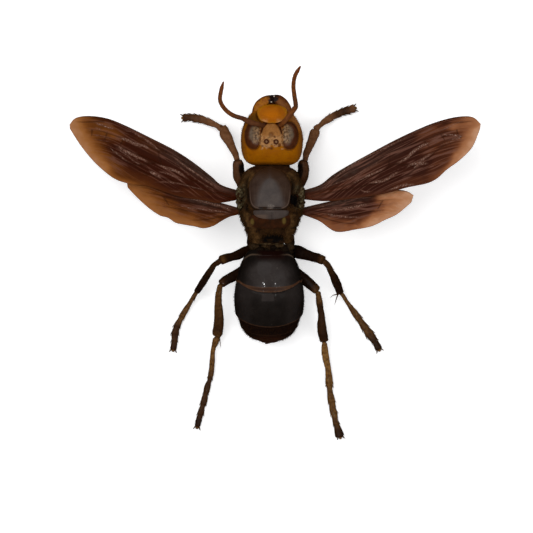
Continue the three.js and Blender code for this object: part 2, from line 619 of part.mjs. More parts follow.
function claws({ foot }) {
  const end = point(foot[foot.length - 1]);
  const ahead = end.clone().sub(point(foot[foot.length - 2])).setZ(0).normalize();
  const across = ahead.clone().cross(up);
  return [-1, 1].map((side) => {
    const spot = (forward, out, z) => (
      end.clone().addScaledVector(ahead, forward).addScaledVector(across, side * out).setZ(z).toArray());
    const path = [
      spot(-CLAW_REACH.back, CLAW_REACH.apart, CLAW.high),
      spot(CLAW_REACH.bend, CLAW_REACH.bendOut, CLAW.high),
      spot(CLAW_REACH.ahead, CLAW_REACH.out, CLAW.low),
    ];
    const thick = (t) => THREE.MathUtils.lerp(CLAW.thick, CLAW.tip, t);
    return solid(limb(path, (t) => [thick(t), thick(t)], CLAW.sides, CLAW.rings));
  });
}

function buildLeg(name, leg, thorax, floor) {
  const group = new THREE.Group();
  const coxa = coxaShape(leg).subtract(thorax);
  const femur = femurShape(leg).subtract(coxaShape(leg, GAP));
  const tibia = joinAll(tibiaShape(leg), spurs(leg)).subtract(femurShape(leg, GAP));
  const grownTibia = joinAll(tibiaShape(leg, GAP), spurs(leg, GAP));
  const tarsus = cutAll(joinAll(tarsusShape(leg), claws(leg)), [grownTibia, floor]);
  group.add(part(`coxa_${name}`, coxa, COLOURS.leg));
  group.add(part(`femur_${name}`, femur, COLOURS.leg));
  group.add(part(`tibia_${name}`, tibia, COLOURS.leg));
  group.add(part(`tarsus_${name}`, tarsus, COLOURS.foot));
  return group;
}

// Wings
function wingSurface({ z, lead, trail }) {
  const front = new THREE.SplineCurve(lead.map(([x, y]) => new THREE.Vector2(x, y)));
  const back = new THREE.SplineCurve(trail.map(([x, y]) => new THREE.Vector2(x, y)));
  return (u, v) => {
    const spot = front.getPoint(u).lerp(back.getPoint(u), v);
    const out = Math.abs(spot.x - THORAX.x) / WING.reach;
    return new THREE.Vector3(spot.x, spot.y, z + WING.rise * out ** 2 - WING.camber * v * v);
  };
}

// A thin sheet with two faces, split into triangles alike on both
function sheet(columns, rows, spotAt, thickAt) {
  const positions = [];
  const index = [];
  const at = (face, i, j) => (face * (columns + 1) + i) * (rows + 1) + j;
  for (let face = 0; face < 2; face += 1) {
    for (let i = 0; i <= columns; i += 1) {
      for (let j = 0; j <= rows; j += 1) {
        const spot = spotAt(i / columns, j / rows);
        const offset = (face - 0.5) * thickAt(i / columns, j / rows);
        positions.push(spot.x, spot.y, spot.z + offset);
      }
    }
  }
  const quad = (a, b, c, d) => index.push(a, b, c, a, c, d);
  for (let i = 0; i < columns; i += 1) {
    for (let j = 0; j < rows; j += 1) {
      quad(at(1, i, j), at(1, i + 1, j), at(1, i + 1, j + 1), at(1, i, j + 1));
      index.push(at(0, i, j), at(0, i + 1, j + 1), at(0, i + 1, j));
      index.push(at(0, i, j), at(0, i, j + 1), at(0, i + 1, j + 1));
    }
    quad(at(0, i, 0), at(0, i + 1, 0), at(1, i + 1, 0), at(1, i, 0));
    quad(at(0, i + 1, rows), at(0, i, rows), at(1, i, rows), at(1, i + 1, rows));
  }
  for (let j = 0; j < rows; j += 1) {
    quad(at(0, 0, j + 1), at(0, 0, j), at(1, 0, j), at(1, 0, j + 1));
    quad(at(0, columns, j), at(0, columns, j + 1), at(1, columns, j + 1), at(1, columns, j));
  }
  const geometry = new THREE.BufferGeometry();
  geometry.setAttribute('position', new THREE.Float32BufferAttribute(positions, 3));
  geometry.setIndex(index);
  return geometry;
}

function wingShape(wing, veins) {
  const surface = wingSurface(wing);
  const thick = (u) => THREE.MathUtils.lerp(WING.rootThick, WING.thick, Math.min(1, u * WING.thins));
  const geometry = sheet(WING.columns, WING.rows, surface, thick);
  const rightSide = wing.lead[1][0] > 0;
  const membrane = solid(rightSide ? flip(geometry) : geometry);
  return joinAll(membrane, veins.map((vein) => veinShape(surface, vein)));
}

// A three-sided vein, edge up, whose flat underside lies inside its wing and which thins towards its end
function veinShape(surface, vein) {
  const size = (t) => [VEIN.high * (1 - VEIN.taper * t * t), VEIN.wide * (1 - VEIN.taper * t)];
  const spots = vein.map(([u, v]) => surface(u, v).toArray());
  return solid(limb(spots, size, VEIN.sides, vein.length + VEIN.extraRings, { roll: -Math.PI / 2 }));
}

// Turns every triangle over, for a sheet drawn the other way round
function flip(geometry) {
  const index = geometry.index.array;
  for (let i = 0; i < index.length; i += 3) {
    const first = index[i];
    index[i] = index[i + 1];
    index[i + 1] = first;
  }
  return geometry;
}

function buildWings(thorax) {
  const group = new THREE.Group();
  Object.entries(WINGS).forEach(([name, wing]) => {
    const side = name.endsWith('left') ? -1 : 1;
    const veins = name.startsWith('forewing') ? FOREWING_VEINS : HINDWING_VEINS;
    const shape = cutAll(wingShape(wing, veins), [thorax, tegulaShape(side, GAP)]);
    group.add(part(name, shape, COLOURS.wing));
  });
  return group;
}

function buildHornet() {
  const hornet = new THREE.Group();
  const thorax = thoraxShape(GAP);
  const floor = belowFloor();
  hornet.add(buildHead(), buildThorax(), buildGaster(), buildWings(thorax));
  Object.entries(LEGS).forEach(([name, leg]) => hornet.add(buildLeg(name, leg, thorax, floor)));
  hornet.position.set(-CENTRE.x, -CENTRE.y, 0);
  return hornet;
}

export default buildHornet();
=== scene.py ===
import math

import bpy
import numpy as np
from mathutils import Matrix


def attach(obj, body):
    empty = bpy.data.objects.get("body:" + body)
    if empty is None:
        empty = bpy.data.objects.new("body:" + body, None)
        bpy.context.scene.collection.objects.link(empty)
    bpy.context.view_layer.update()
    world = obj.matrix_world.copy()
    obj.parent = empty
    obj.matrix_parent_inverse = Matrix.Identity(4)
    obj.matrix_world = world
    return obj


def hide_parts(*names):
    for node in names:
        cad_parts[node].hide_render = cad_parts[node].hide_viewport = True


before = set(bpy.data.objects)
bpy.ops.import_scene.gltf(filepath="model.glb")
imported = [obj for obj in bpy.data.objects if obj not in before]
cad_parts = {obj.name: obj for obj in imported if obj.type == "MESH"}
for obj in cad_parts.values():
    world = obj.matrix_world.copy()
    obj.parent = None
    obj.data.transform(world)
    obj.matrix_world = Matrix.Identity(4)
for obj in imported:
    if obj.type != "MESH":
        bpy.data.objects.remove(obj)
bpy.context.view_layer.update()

scene = bpy.context.scene
print("frame loaded,", len(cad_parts), "solids")

# Sizes are millimetres in the hornet's own frame: +X right, +Y to the head, +Z up, feet at 0
millimetre = 0.001
frameShift = np.array([0.1, 0.07, 0.0])   # from the hornet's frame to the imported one
waistShare = 0.48                         # how far up a section its widest line lies
headX = -0.72
thoraxX = -0.95


# Numbers and noise

def smoothStep(value, low, high):
    t = np.clip((value - low) / (high - low), 0, 1)
    return t * t * (3 - 2 * t)


def fadeOut(value, low, high):
    return 1 - smoothStep(value, low, high)


def latticeValue(ix, iy, iz, seed):
    mixed = (ix * 374761393 + iy * 668265263 + iz * 1103515245 + seed * 974634777) & 0xFFFFFFFF
    mixed = ((mixed ^ (mixed >> 13)) * 1274126177) & 0xFFFFFFFF
    return ((mixed ^ (mixed >> 16)) & 0xFFFFFF) / 0x7FFFFF - 1.0


def softNoise(points, size, seed=0):
    # smooth random swell between -1 and 1, with lumps about one size across
    place = np.asarray(points, float) / size
    corner = np.floor(place).astype(np.int64)
    share = place - corner
    share = share * share * (3 - 2 * share)
    total = np.zeros(place.shape[:-1])
    for step in range(8):
        offset = (step & 1, (step >> 1) & 1, (step >> 2) & 1)
        weight = np.ones(place.shape[:-1])
        for axis in range(3):
            weight = weight * (share[..., axis] if offset[axis] else 1 - share[..., axis])
        total += weight * latticeValue(
            corner[..., 0] + offset[0], corner[..., 1] + offset[1], corner[..., 2] + offset[2], seed)
    return total


def layeredNoise(points, size, seed=0, layers=3):
    return sum(softNoise(points, size / 2 ** k, seed + k) / 2 ** k for k in range(layers))


def unit(vectors):
    return vectors / np.maximum(np.linalg.norm(vectors, axis=-1, keepdims=True), 1e-12)


def spline(points, t):
    # smooth line through evenly spaced stations, at places t from 0 to 1
    points = np.asarray(points, float)
    last = len(points) - 1
    place = np.clip(np.asarray(t, float), 0, 1) * last
    start = np.minimum(place.astype(int), last - 1)
    w = (place - start)[..., None]
    before, here = points[np.maximum(start - 1, 0)], points[start]
    there, after = points[start + 1], points[np.minimum(start + 2, last)]
    leave, arrive = (there - before) / 2, (after - here) / 2
    return ((2 * here - 2 * there + leave + arrive) * w ** 3
            + (3 * there - 3 * here - 2 * leave - arrive) * w ** 2 + leave * w + here)


def smoothPath(points, count):
    # smooth line through unevenly spaced points, cut into count even steps
    points = np.asarray(points, float)
    ends = np.vstack([2 * points[0] - points[1], points, 2 * points[-1] - points[-2]])
    spans = []
    w = np.linspace(0, 1, 60, endpoint=False)[:, None]
    for i in range(len(points) - 1):
        a, b, c, d = ends[i:i + 4]
        before, here, after = (np.linalg.norm(q - p) ** 0.5 for p, q in ((a, b), (b, c), (c, d)))
        leave = ((b - a) / before - (c - a) / (before + here) + (c - b) / here) * here
        arrive = ((c - b) / here - (d - b) / (here + after) + (d - c) / after) * here
        spans.append(b + leave * w + (3 * c - 3 * b - 2 * leave - arrive) * w ** 2
                     + (2 * b - 2 * c + leave + arrive) * w ** 3)
    line = np.vstack(spans + [points[-1:]])
    run = np.concatenate([[0], np.cumsum(np.linalg.norm(np.diff(line, axis=0), axis=1))])
    even = np.linspace(0, run[-1], count)
    return np.column_stack([np.interp(even, run, line[:, k]) for k in range(line.shape[1])])


def distanceToLine(x, y, line):
    # how far each place is from a line of X, Y points, and how far along it the nearest spot is
    line = np.asarray(line, float)
    nearest = np.full(np.shape(x), 1e9)
    along = np.zeros(np.shape(x))
    for i in range(len(line) - 1):
        (ax, ay), (bx, by) = line[i], line[i + 1]
        t = np.clip(((x - ax) * (bx - ax) + (y - ay) * (by - ay)) / ((bx - ax) ** 2 + (by - ay) ** 2), 0, 1)
        away = np.hypot(x - ax - t * (bx - ax), y - ay - t * (by - ay))
        closer = away < nearest
        nearest = np.where(closer, away, nearest)
        along = np.where(closer, (i + t) / (len(line) - 1), along)
    return nearest, along


# Surfaces as grids of points: one row for each ring, one column for each side

def ringGrid(centre, across, above, below, power, sides):
    angle = np.linspace(0, 2 * np.pi, sides, endpoint=False)
    side = np.sign(np.cos(angle)) * np.abs(np.cos(angle)) ** (2 / power)
    rise = np.abs(np.sin(angle)) ** (2 / power)
    lift = np.where((np.sin(angle) > 0)[None, :, None], above[:, None, :], below[:, None, :])
    return centre[:, None, :] + across[:, None, :] * side[None, :, None] + lift * rise[None, :, None]


def gridNormals(grid):
    along = np.gradient(grid, axis=0)
    around = np.roll(grid, -1, axis=1) - np.roll(grid, 1, axis=1)
    normals = unit(np.cross(along, around))
    outward = np.sum(normals * (grid - grid.mean(axis=1, keepdims=True)), axis=-1)
    return normals * np.where(np.median(outward) < 0, -1, 1)


def trunkSizes(form, y):
    rows = spline(form["rows"], np.linspace(0, 1, 400))
    rows = rows[np.argsort(rows[:, 0])]
    return [np.interp(y, rows[:, 0], rows[:, k]) for k in (1, 2, 3)]


def trunkGrid(form, rings, sides):
    rows = spline(form["rows"], np.linspace(0, 1, rings))
    y, half, top, bottom = rows.T
    waist = bottom + waistShare * (top - bottom)
    nought = np.zeros(rings)
    return ringGrid(
        np.column_stack([nought + form["x"], y, waist]), np.column_stack([half, nought, nought]),
        np.column_stack([nought, nought, top - waist]), np.column_stack([nought, nought, bottom - waist]),
        form["power"], sides)


def trunkTop(form, x, y):
    half, top, bottom = trunkSizes(form, y)
    waist = bottom + waistShare * (top - bottom)
    out = np.clip(np.abs(x - form["x"]) / half, 0, 1)
    return waist + (top - waist) * (1 - out ** form["power"]) ** (1 / form["power"])


def limbGrid(path, wide, thick, sides, roll=0.0, power=2.0):
    ahead = unit(np.gradient(path, axis=0))
    across = unit(np.cross(ahead, np.array([0.0, 0.0, 1.0])))
    above = unit(np.cross(across, ahead))
    turned = across * math.cos(roll) + above * math.sin(roll)
    above = unit(np.cross(turned, ahead))
    size = np.asarray(thick)[:, None] * above
    return ringGrid(path, turned * np.asarray(wide)[:, None], size, -size, power, sides)


def roundEnds(t, start=0.08, end=0.08, least=0.12):
    # a factor that closes a limb in over the last stretch at each end
    near = np.clip(t / start, 0, 1)
    far = np.clip((1 - t) / end, 0, 1)
    return np.maximum(least, np.sqrt(1 - (1 - near) ** 2) * np.sqrt(1 - (1 - far) ** 2))


def ballGrid(middle, reach, rings=18, sides=28, turn=0.0):
    # an ellipsoid whose first reach is turned about the upright axis
    t = np.linspace(0.02, 0.98, rings) * np.pi
    angle = np.linspace(0, 2 * np.pi, sides, endpoint=False)
    x = np.cos(angle)[None, :] * np.sin(t)[:, None] * reach[0]
    y = np.sin(angle)[None, :] * np.sin(t)[:, None] * reach[1]
    z = np.repeat(np.cos(t)[:, None], sides, axis=1) * reach[2]
    c, s = math.cos(turn), math.sin(turn)
    return np.stack([x * c - y * s, x * s + y * c, z], axis=-1) + np.asarray(middle, float)


def plateGrid(outline, middle, topAt, lift, edge, rings=60, skirt=0.45):
    # a plate over an outline: level with topAt plus lift, rounded over at its rim, and closed below
    share = np.sin(np.linspace(0.02, 1, rings) * np.pi / 2)
    spots = np.asarray(middle)[None, None, :] + (outline - np.asarray(middle))[None] * share[:, None, None]
    drop = np.clip((share - (1 - edge)) / edge, 0, 1)
    crown = lift * np.sqrt(np.maximum(0, 1 - drop ** 2))
    x, y = spots[..., 0], spots[..., 1]
    top = np.stack([x, y, topAt(x, y) + crown[:, None]], axis=-1)
    under = top[-1:].copy()
    under[..., 2] -= skirt
    return np.concatenate([top, under])


# Meshes: shells are heaped up and become one piece

def newHeap(grid=None, masks=None):
    heap = {"points": [], "faces": [], "masks": {}, "count": 0}
    if grid is not None:
        addGrid(heap, grid, masks)
    return heap


def addGrid(heap, grid, masks=None):
    # a closed tube: rings of quads, with a small cap of thin quads at each end
    rings, sides = grid.shape[:2]
    shared = np.asarray(grid, float)
    poles = np.stack([shared[0].mean(axis=0), shared[-1].mean(axis=0)])
    points = np.concatenate([shared.reshape(-1, 3), poles])
    here = np.arange(rings - 1)[:, None] * sides + np.arange(sides)[None, :]
    turn = np.arange(rings - 1)[:, None] * sides + (np.arange(sides)[None, :] + 1) % sides
    quads = np.stack([here, turn, turn + sides, here + sides], axis=-1).reshape(-1, 4)
    ring = np.arange(sides)
    after = (ring + 1) % sides
    last = (rings - 1) * sides
    low = np.stack([np.full(sides, rings * sides), after, ring], axis=-1)
    high = np.stack([np.full(sides, rings * sides + 1), last + ring, last + after], axis=-1)
    corners = points[quads]
    volume = sum(np.sum(corners[:, 0] * np.cross(corners[:, k], corners[:, k + 1])) for k in (1, 2))
    for cap in (low, high):
        three = points[cap]
        volume += np.sum(three[:, 0] * np.cross(three[:, 1], three[:, 2]))
    flip = -1 if volume < 0 else 1
    for faces in (quads, low, high):
        heap["faces"].append(faces[:, ::flip] + heap["count"])
    heap["points"].append(points)
    for name, values in (masks or {}).items():
        field = np.broadcast_to(values, (rings, sides)).reshape(-1)
        field = np.concatenate([field, [field[:sides].mean(), field[-sides:].mean()]])
        heap["masks"].setdefault(name, []).append((heap["count"], field))
    heap["count"] += len(points)


def finishPiece(heap, name, material, nodes=(), patches=None):
    points = (np.concatenate(heap["points"]) + frameShift) * millimetre
    faces = [face for block in heap["faces"] for face in block.tolist()]
    mesh = bpy.data.meshes.new(name)
    mesh.from_pydata(points.tolist(), [], faces)
    for mask, parts in heap["masks"].items():
        values = np.zeros(len(points), np.float32)
        for start, part in parts:
            values[start:start + len(part)] = part
        mesh.attributes.new(mask, "FLOAT", "POINT").data.foreach_set("value", values)
    if patches is not None:
        corners = np.empty(len(mesh.loops), np.int32)
        mesh.loops.foreach_get("vertex_index", corners)
        mesh.uv_layers.new(name="OFBake").data.foreach_set("uv", patches[corners].astype(np.float32).ravel())
    mesh.shade_smooth()
    mesh.materials.append(material)
    piece = bpy.data.objects.new(name, mesh)
    scene.collection.objects.link(piece)
    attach(piece, "root")
    if nodes:
        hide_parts(*nodes)
    return piece


# Coats of short hair: the makers list fields of hair here, and the coats grow from them at the end

coatFields = []
coats = {    # length in millimetres, how pale the hairs are, and how far they lean along the body
    "head_coat": {"length": 0.28, "tone": 0.6, "lean": 0.8},
    "thorax_coat": {"length": 0.4, "tone": 0.3, "lean": 0.8},
    "gaster_coat": {"length": 0.34, "tone": 0.1, "lean": 0.8},
    "leg_coat": {"length": 0.26, "tone": 0.35, "lean": 1.5},
}


def listHair(coat, grid, keep, count, paler=0.0):
    look = coats[coat]
    coatFields.append({"coat": coat, "grid": np.array(grid), "keep": np.broadcast_to(keep, grid.shape[:2]),
                       "count": count, "length": look["length"], "tone": look["tone"] + paler,
                       "lean": look["lean"]})


# Shader helpers

def addNode(tree, kind, inputs=None, **settings):
    made = tree.nodes.new("ShaderNode" + kind)
    for key, value in settings.items():
        setattr(made, key, value)
    for key, value in (inputs or {}).items():
        if isinstance(value, bpy.types.NodeSocket):
            tree.links.new(value, made.inputs[key])
        else:
            plainColour = isinstance(value, tuple) and len(value) == 3
            made.inputs[key].default_value = (*value, 1.0) if plainColour else value
    return made


def mixColours(tree, mask, first, second, mode="MIX"):
    return addNode(tree, "Mix", {0: mask, 6: first, 7: second}, data_type="RGBA", blend_type=mode).outputs[2]


def doMath(tree, operation, first, second=0.0, third=0.0):
    return addNode(tree, "Math", {0: first, 1: second, 2: third}, operation=operation).outputs[0]


def spread(tree, value, low, high, toLow=0.0, toHigh=1.0):
    return addNode(tree, "MapRange", {"Value": value, "From Min": low, "From Max": high,
                                      "To Min": toLow, "To Max": toHigh}).outputs[0]


def readMask(tree, name):
    return addNode(tree, "Attribute", attribute_name=name).outputs["Fac"]


number, colourKind = "NodeSocketFloat", "NodeSocketColor"


def startGroup(name, inputs, outputs):
    group = bpy.data.node_groups.new(name, "ShaderNodeTree")
    for label, kind, value in inputs:
        group.interface.new_socket(label, in_out="INPUT", socket_type=kind).default_value = value
    for label, kind in outputs:
        group.interface.new_socket(label, in_out="OUTPUT", socket_type=kind)
    return group, group.nodes.new("NodeGroupInput").outputs, group.nodes.new("NodeGroupOutput").inputs


def inMillimetres(tree):
    spot = addNode(tree, "TexCoord").outputs["Object"]
    return addNode(tree, "VectorMath", {0: spot, 3: 1000.0}, operation="SCALE").outputs[0]


def placeGroup(tree, group, **inputs):
    made = tree.nodes.new("ShaderNodeGroup")
    made.node_tree = group
    for key, value in inputs.items():
        socket = made.inputs[key.replace("_", " ")]
        if isinstance(value, bpy.types.NodeSocket):
            tree.links.new(value, socket)
        else:
            socket.default_value = (*value, 1.0) if isinstance(value, tuple) else value
    return made.outputs


def makeShellGrain():
    # fine pits and soft swells of insect shell, as a height and as a broad mottle
    group, given, put = startGroup(
        "shellGrain",
        [("Grain", number, 0.2), ("Pits", number, 0.4), ("Swell", number, 1.2)],
        [("Height", number), ("Mottle", number)])
    spot = inMillimetres(group)
    fineScale = doMath(group, "DIVIDE", 1.0, given["Grain"])
    broadScale = doMath(group, "DIVIDE", 1.0, given["Swell"])
    fine = addNode(group, "TexNoise", {"Vector": spot, "Scale": fineScale, "Detail": 4.0, "Roughness": 0.6})
    broad = addNode(group, "TexNoise", {"Vector": spot, "Scale": broadScale, "Detail": 5.0,
                                        "Roughness": 0.62})
    cells = addNode(group, "TexVoronoi", {"Vector": spot, "Scale": fineScale})
    pit = spread(group, cells.outputs["Distance"], 0.0, 0.35)
    pitted = doMath(group, "MULTIPLY", pit, given["Pits"])
    group.links.new(doMath(group, "ADD", fine.outputs["Fac"], pitted), put["Height"])
    group.links.new(spread(group, broad.outputs["Fac"], 0.32, 0.68), put["Mottle"])
    return group


def makeBlotches():
    # two colours that run into one another in uneven patches
    group, given, put = startGroup(
        "blotches",
        [("First", colourKind, (0.5, 0.5, 0.5, 1.0)), ("Second", colourKind, (0.2, 0.2, 0.2, 1.0)),
         ("Size", number, 1.0), ("Balance", number, 0.5), ("Blur", number, 0.12)],
        [("Colour", colourKind), ("Mask", number)])
    scale = doMath(group, "DIVIDE", 1.0, given["Size"])
    noise = addNode(group, "TexNoise", {"Vector": inMillimetres(group), "Scale": scale, "Detail": 4.0,
                                        "Roughness": 0.65}).outputs["Fac"]
    low = doMath(group, "SUBTRACT", given["Balance"], given["Blur"])
    high = doMath(group, "ADD", given["Balance"], given["Blur"])
    mask = spread(group, noise, low, high)
    group.links.new(mixColours(group, mask, given["First"], given["Second"]), put["Colour"])
    group.links.new(mask, put["Mask"])
    return group


def makeDustSpecks():
    # sparse pale specks, as a mask
    group, given, put = startGroup(
        "dustSpecks", [("Spacing", number, 0.6), ("Size", number, 0.12)],
        [("Mask", number)])
    spot = inMillimetres(group)
    cells = addNode(group, "TexVoronoi", {"Vector": spot,
                                          "Scale": doMath(group, "DIVIDE", 1.0, given["Spacing"])})
    near = doMath(group, "LESS_THAN", cells.outputs["Distance"], given["Size"])
    chance = addNode(group, "TexNoise", {"Vector": spot, "Scale": 1.3, "Detail": 2.0}).outputs["Fac"]
    group.links.new(doMath(group, "MULTIPLY", near, spread(group, chance, 0.5, 0.62)), put["Mask"])
    return group


shellGrain = makeShellGrain()
blotches = makeBlotches()
dustSpecks = makeDustSpecks()


def startMaterial(name, roughness=0.45, specular=0.3, coat=0.0, coatRoughness=0.2):
    material = bpy.data.materials.new(name)
    material.use_nodes = True
    tree = material.node_tree
    shader = tree.nodes["Principled BSDF"]
    shader.inputs["Roughness"].default_value = roughness
    shader.inputs["Specular IOR Level"].default_value = specular
    shader.inputs["Coat Weight"].default_value = coat
    shader.inputs["Coat Roughness"].default_value = coatRoughness
    return material, tree, shader


def setBump(tree, shader, height, depth):
    # depth is the rise of the relief in millimetres
    bump = addNode(tree, "Bump", {"Strength": 1.0, "Distance": depth * millimetre, "Height": height})
    tree.links.new(bump.outputs[0], shader.inputs["Normal"])


def pickTone(tree, tone):
    # a plain colour as it is, or two that mix in patches: both colours, size, and balance and blur if given
    if not isinstance(tone[0], tuple):
        return tone
    first, second, size, balance, blur = tone if len(tone) == 5 else (*tone, 0.5, 0.12)
    return placeGroup(tree, blotches, First=first, Second=second, Size=size, Balance=balance,
                      Blur=blur)["Colour"]


def layOver(tree, colour, layers, made=None):
    # lays tones over a colour in turn, by mask and share; made holds masks and tones of the material's own
    made = made or {}
    for mask, share, tone in layers:
        strength = made[mask] if mask in made else readMask(tree, mask)
        if share < 1:
            strength = doMath(tree, "MULTIPLY", strength, share)
        over = made[tone] if isinstance(tone, str) else pickTone(tree, tone)
        colour = mixColours(tree, strength, colour, over)
    return colour


def startLook(name, look):
    material, tree, shader = startMaterial(name, **look["shader"])
    size, pits, swell = look["grain"]
    grain = placeGroup(tree, shellGrain, Grain=size, Pits=pits, Swell=swell)
    if "rough" in look:
        tree.links.new(spread(tree, grain["Mottle"], 0, 1, *look["rough"]), shader.inputs["Roughness"])
    setBump(tree, shader, grain["Height"], look["relief"])
    return material, tree, shader.inputs["Base Color"], grain


def paintLook(name, look):
    # a shell with grain, a base tone, the layers over it, and specks where a mask lets them be
    material, tree, target, _ = startLook(name, look)
    made = {}
    if "specks" in look:
        spacing, size, place = look["specks"]
        made["specks"] = placeGroup(tree, dustSpecks, Spacing=spacing, Size=size)["Mask"]
        if place:
            made["specks"] = doMath(tree, "MULTIPLY", made["specks"], readMask(tree, place))
    tree.links.new(layOver(tree, pickTone(tree, look["base"]), look["layers"], made), target)
    return material


# Camera, floor and light

viewpoint = {"middle": (-1.59, -2.26), "picture": 97.0, "level": 8.0, "away": 1200.0, "sensor": 36.0}
studio = {
    "floor": 6.0, "floorColour": (0.82, 0.81, 0.8), "floorGlow": 0.5, "sky": (0.93, 0.95, 1.0),
    "skyLight": 0.3,
    "lamps": {    # place in millimetres, size, power in watts
        "softbox": ((-260, 180, 820), 700, 4.6),
        "fill": ((420, -150, 700), 500, 1.6),
        "leftSpark": ((-150, -190, 600), 26, 1.1),
        "rightSpark": ((148, -190, 600), 26, 1.1),
    },
}


def setCamera():
    data = bpy.data.cameras.new("camera")
    data.sensor_width = viewpoint["sensor"]
    data.lens = viewpoint["sensor"] * viewpoint["away"] / viewpoint["picture"]
    data.clip_start, data.clip_end = 0.01, 20.0
    camera = bpy.data.objects.new("camera", data)
    height = viewpoint["level"] + viewpoint["away"]
    camera.location = [size * millimetre for size in (*viewpoint["middle"], height)]
    scene.collection.objects.link(camera)
    scene.camera = camera


def layFloor():
    # a plain pale sweep: it glows a little to the camera, so that shadows on it stay soft
    half = studio["floor"] / 2
    mesh = bpy.data.meshes.new("floor")
    mesh.from_pydata([(-half, -half, 0), (half, -half, 0), (half, half, 0), (-half, half, 0)], [],
                     [(0, 1, 2, 3)])
    material, tree, shader = startMaterial("paleFloor", roughness=0.9, specular=0.0)
    shader.inputs["Base Color"].default_value = (*studio["floorColour"], 1.0)
    shader.inputs["Emission Color"].default_value = (1.0, 1.0, 1.0, 1.0)
    seen = addNode(tree, "LightPath").outputs["Is Camera Ray"]
    tree.links.new(doMath(tree, "MULTIPLY", seen, studio["floorGlow"]), shader.inputs["Emission Strength"])
    mesh.materials.append(material)
    floor = bpy.data.objects.new("floor", mesh)
    floor.location.z = -0.02 * millimetre
    floor.visible_glossy = False
    scene.collection.objects.link(floor)


def hangLamps():
    for name, (place, size, power) in studio["lamps"].items():
        data = bpy.data.lights.new(name, "AREA")
        data.shape = "DISK"
        data.size = size * millimetre
        data.energy = power
        lamp = bpy.data.objects.new(name, data)
        lamp.location = [value * millimetre for value in place]
        lamp.rotation_euler = lamp.location.to_track_quat("Z", "Y").to_euler()
        lamp.visible_diffuse = "Spark" not in name
        scene.collection.objects.link(lamp)
    world = bpy.data.worlds.new("studio")
    world.use_nodes = True
    world.node_tree.nodes["Background"].inputs["Color"].default_value = (*studio["sky"], 1.0)
    world.node_tree.nodes["Background"].inputs["Strength"].default_value = studio["skyLight"]
    world.cycles_visibility.glossy = False
    scene.world = world
    scene.view_settings.view_transform = "Standard"


setCamera()
layFloor()
hangLamps()
print("camera, floor and lamps set")


# Head capsule

headForm = {
    "x": headX, "power": 2.3, "hairs": 1500, "ringRise": 0.05, "swell": 0.035, "grit": 0.008,
    "furrow": 0.05, "nape": 0.06, "rows": [
        [16.1, 3.5, 11.3, 7.4], [16.5, 4.35, 12.1, 6.8], [17.3, 5.05, 12.8, 6.3], [18.6, 5.5, 13.35, 6.0],
        [20.6, 5.66, 13.6, 5.9], [22.4, 5.45, 13.2, 6.0], [23.8, 4.9, 12.4, 6.2], [25.0, 4.2, 11.2, 6.5],
        [26.2, 3.2, 9.7, 6.9]],
}
eyes = {
    "left": {"middle": (-4.15, 21.4), "outer": 1.5, "inner": 1.28, "long": 2.42, "side": -1},
    "right": {"middle": (2.5, 21.4), "outer": 1.62, "inner": 1.3, "long": 2.5, "side": 1},
}
face = {
    "shield": {"x": -0.83, "apex": 23.72, "foot": 21.5, "half": 1.72, "rise": 0.13},
    "grooves": [[(-1.9, 23.85), (-2.4, 23.2), (-2.68, 21.9)], [(0.3, 23.85), (0.72, 23.2), (1.12, 21.85)]],
    "grooveDepth": 0.3, "grooveWide": 0.62, "sockets": [(-2.4, 23.35), (0.85, 23.4)],
    "band": {"x": -0.83, "half": 2.6, "low": 19.15, "top": (22.5, 23.1)}, "ridge": 0.05,
    "orbitDepth": 0.12,
}
clypeusForm = {"middle": (-0.66, 25.42), "wide": 2.7, "long": 1.72, "power": 2.7, "pinch": 0.14,
               "start": 23.7,
               "run": 3.4, "high": 11.95, "fall": 2.75, "bulge": 0.5, "side": 0.85, "lift": 0.3}
ocelli = {"radius": 0.25, "spots": [(-0.86, 21.55), (-1.69, 20.3), (0.04, 20.25)], "ring": 0.56,
          "pale": (0.3, 0.17, 0.085), "deep": (0.13, 0.06, 0.025),
          "freckles": [(-0.27, 21.15), (-1.17, 19.2), (-0.8, 19.1), (0.55, 19.6), (-2.4, 19.5)]}


def eyeOutline(eye, count=120):
    # D-shaped: round outside, straighter inside
    angle = np.linspace(0, 2 * np.pi, count, endpoint=False)
    out = np.cos(angle) * eye["side"]
    power = np.where(out > 0, 2.0, 2.9)
    across = np.sign(np.cos(angle)) * np.abs(np.cos(angle)) ** (2 / power)
    along = np.sign(np.sin(angle)) * np.abs(np.sin(angle)) ** (2 / power)
    reach = np.where(out > 0, eye["outer"], eye["inner"])
    return np.column_stack([eye["middle"][0] + across * reach, eye["middle"][1] + along * eye["long"]])


def eyeShare(eye, x, y):
    # 0 at the middle of an eye, 1 at its rim
    side = (x - eye["middle"][0]) * eye["side"]
    reach = np.where(side > 0, eye["outer"], eye["inner"])
    power = np.where(side > 0, 2.0, 2.9)
    long = np.abs((y - eye["middle"][1]) / eye["long"])
    return (np.abs(side / reach) ** power + long ** power) ** (1 / power)


def shieldMask(x, y):
    form = face["shield"]
    up = np.clip((y - form["foot"]) / (form["apex"] - form["foot"]), -1, 1)
    half = form["half"] * (1 - np.clip(up, 0, 1) ** 2.1) ** 0.62
    inside = half - np.abs(x - form["x"])
    return smoothStep(inside, -0.04, 0.16) * smoothStep(y, form["foot"] - 0.5, form["foot"] + 0.1)


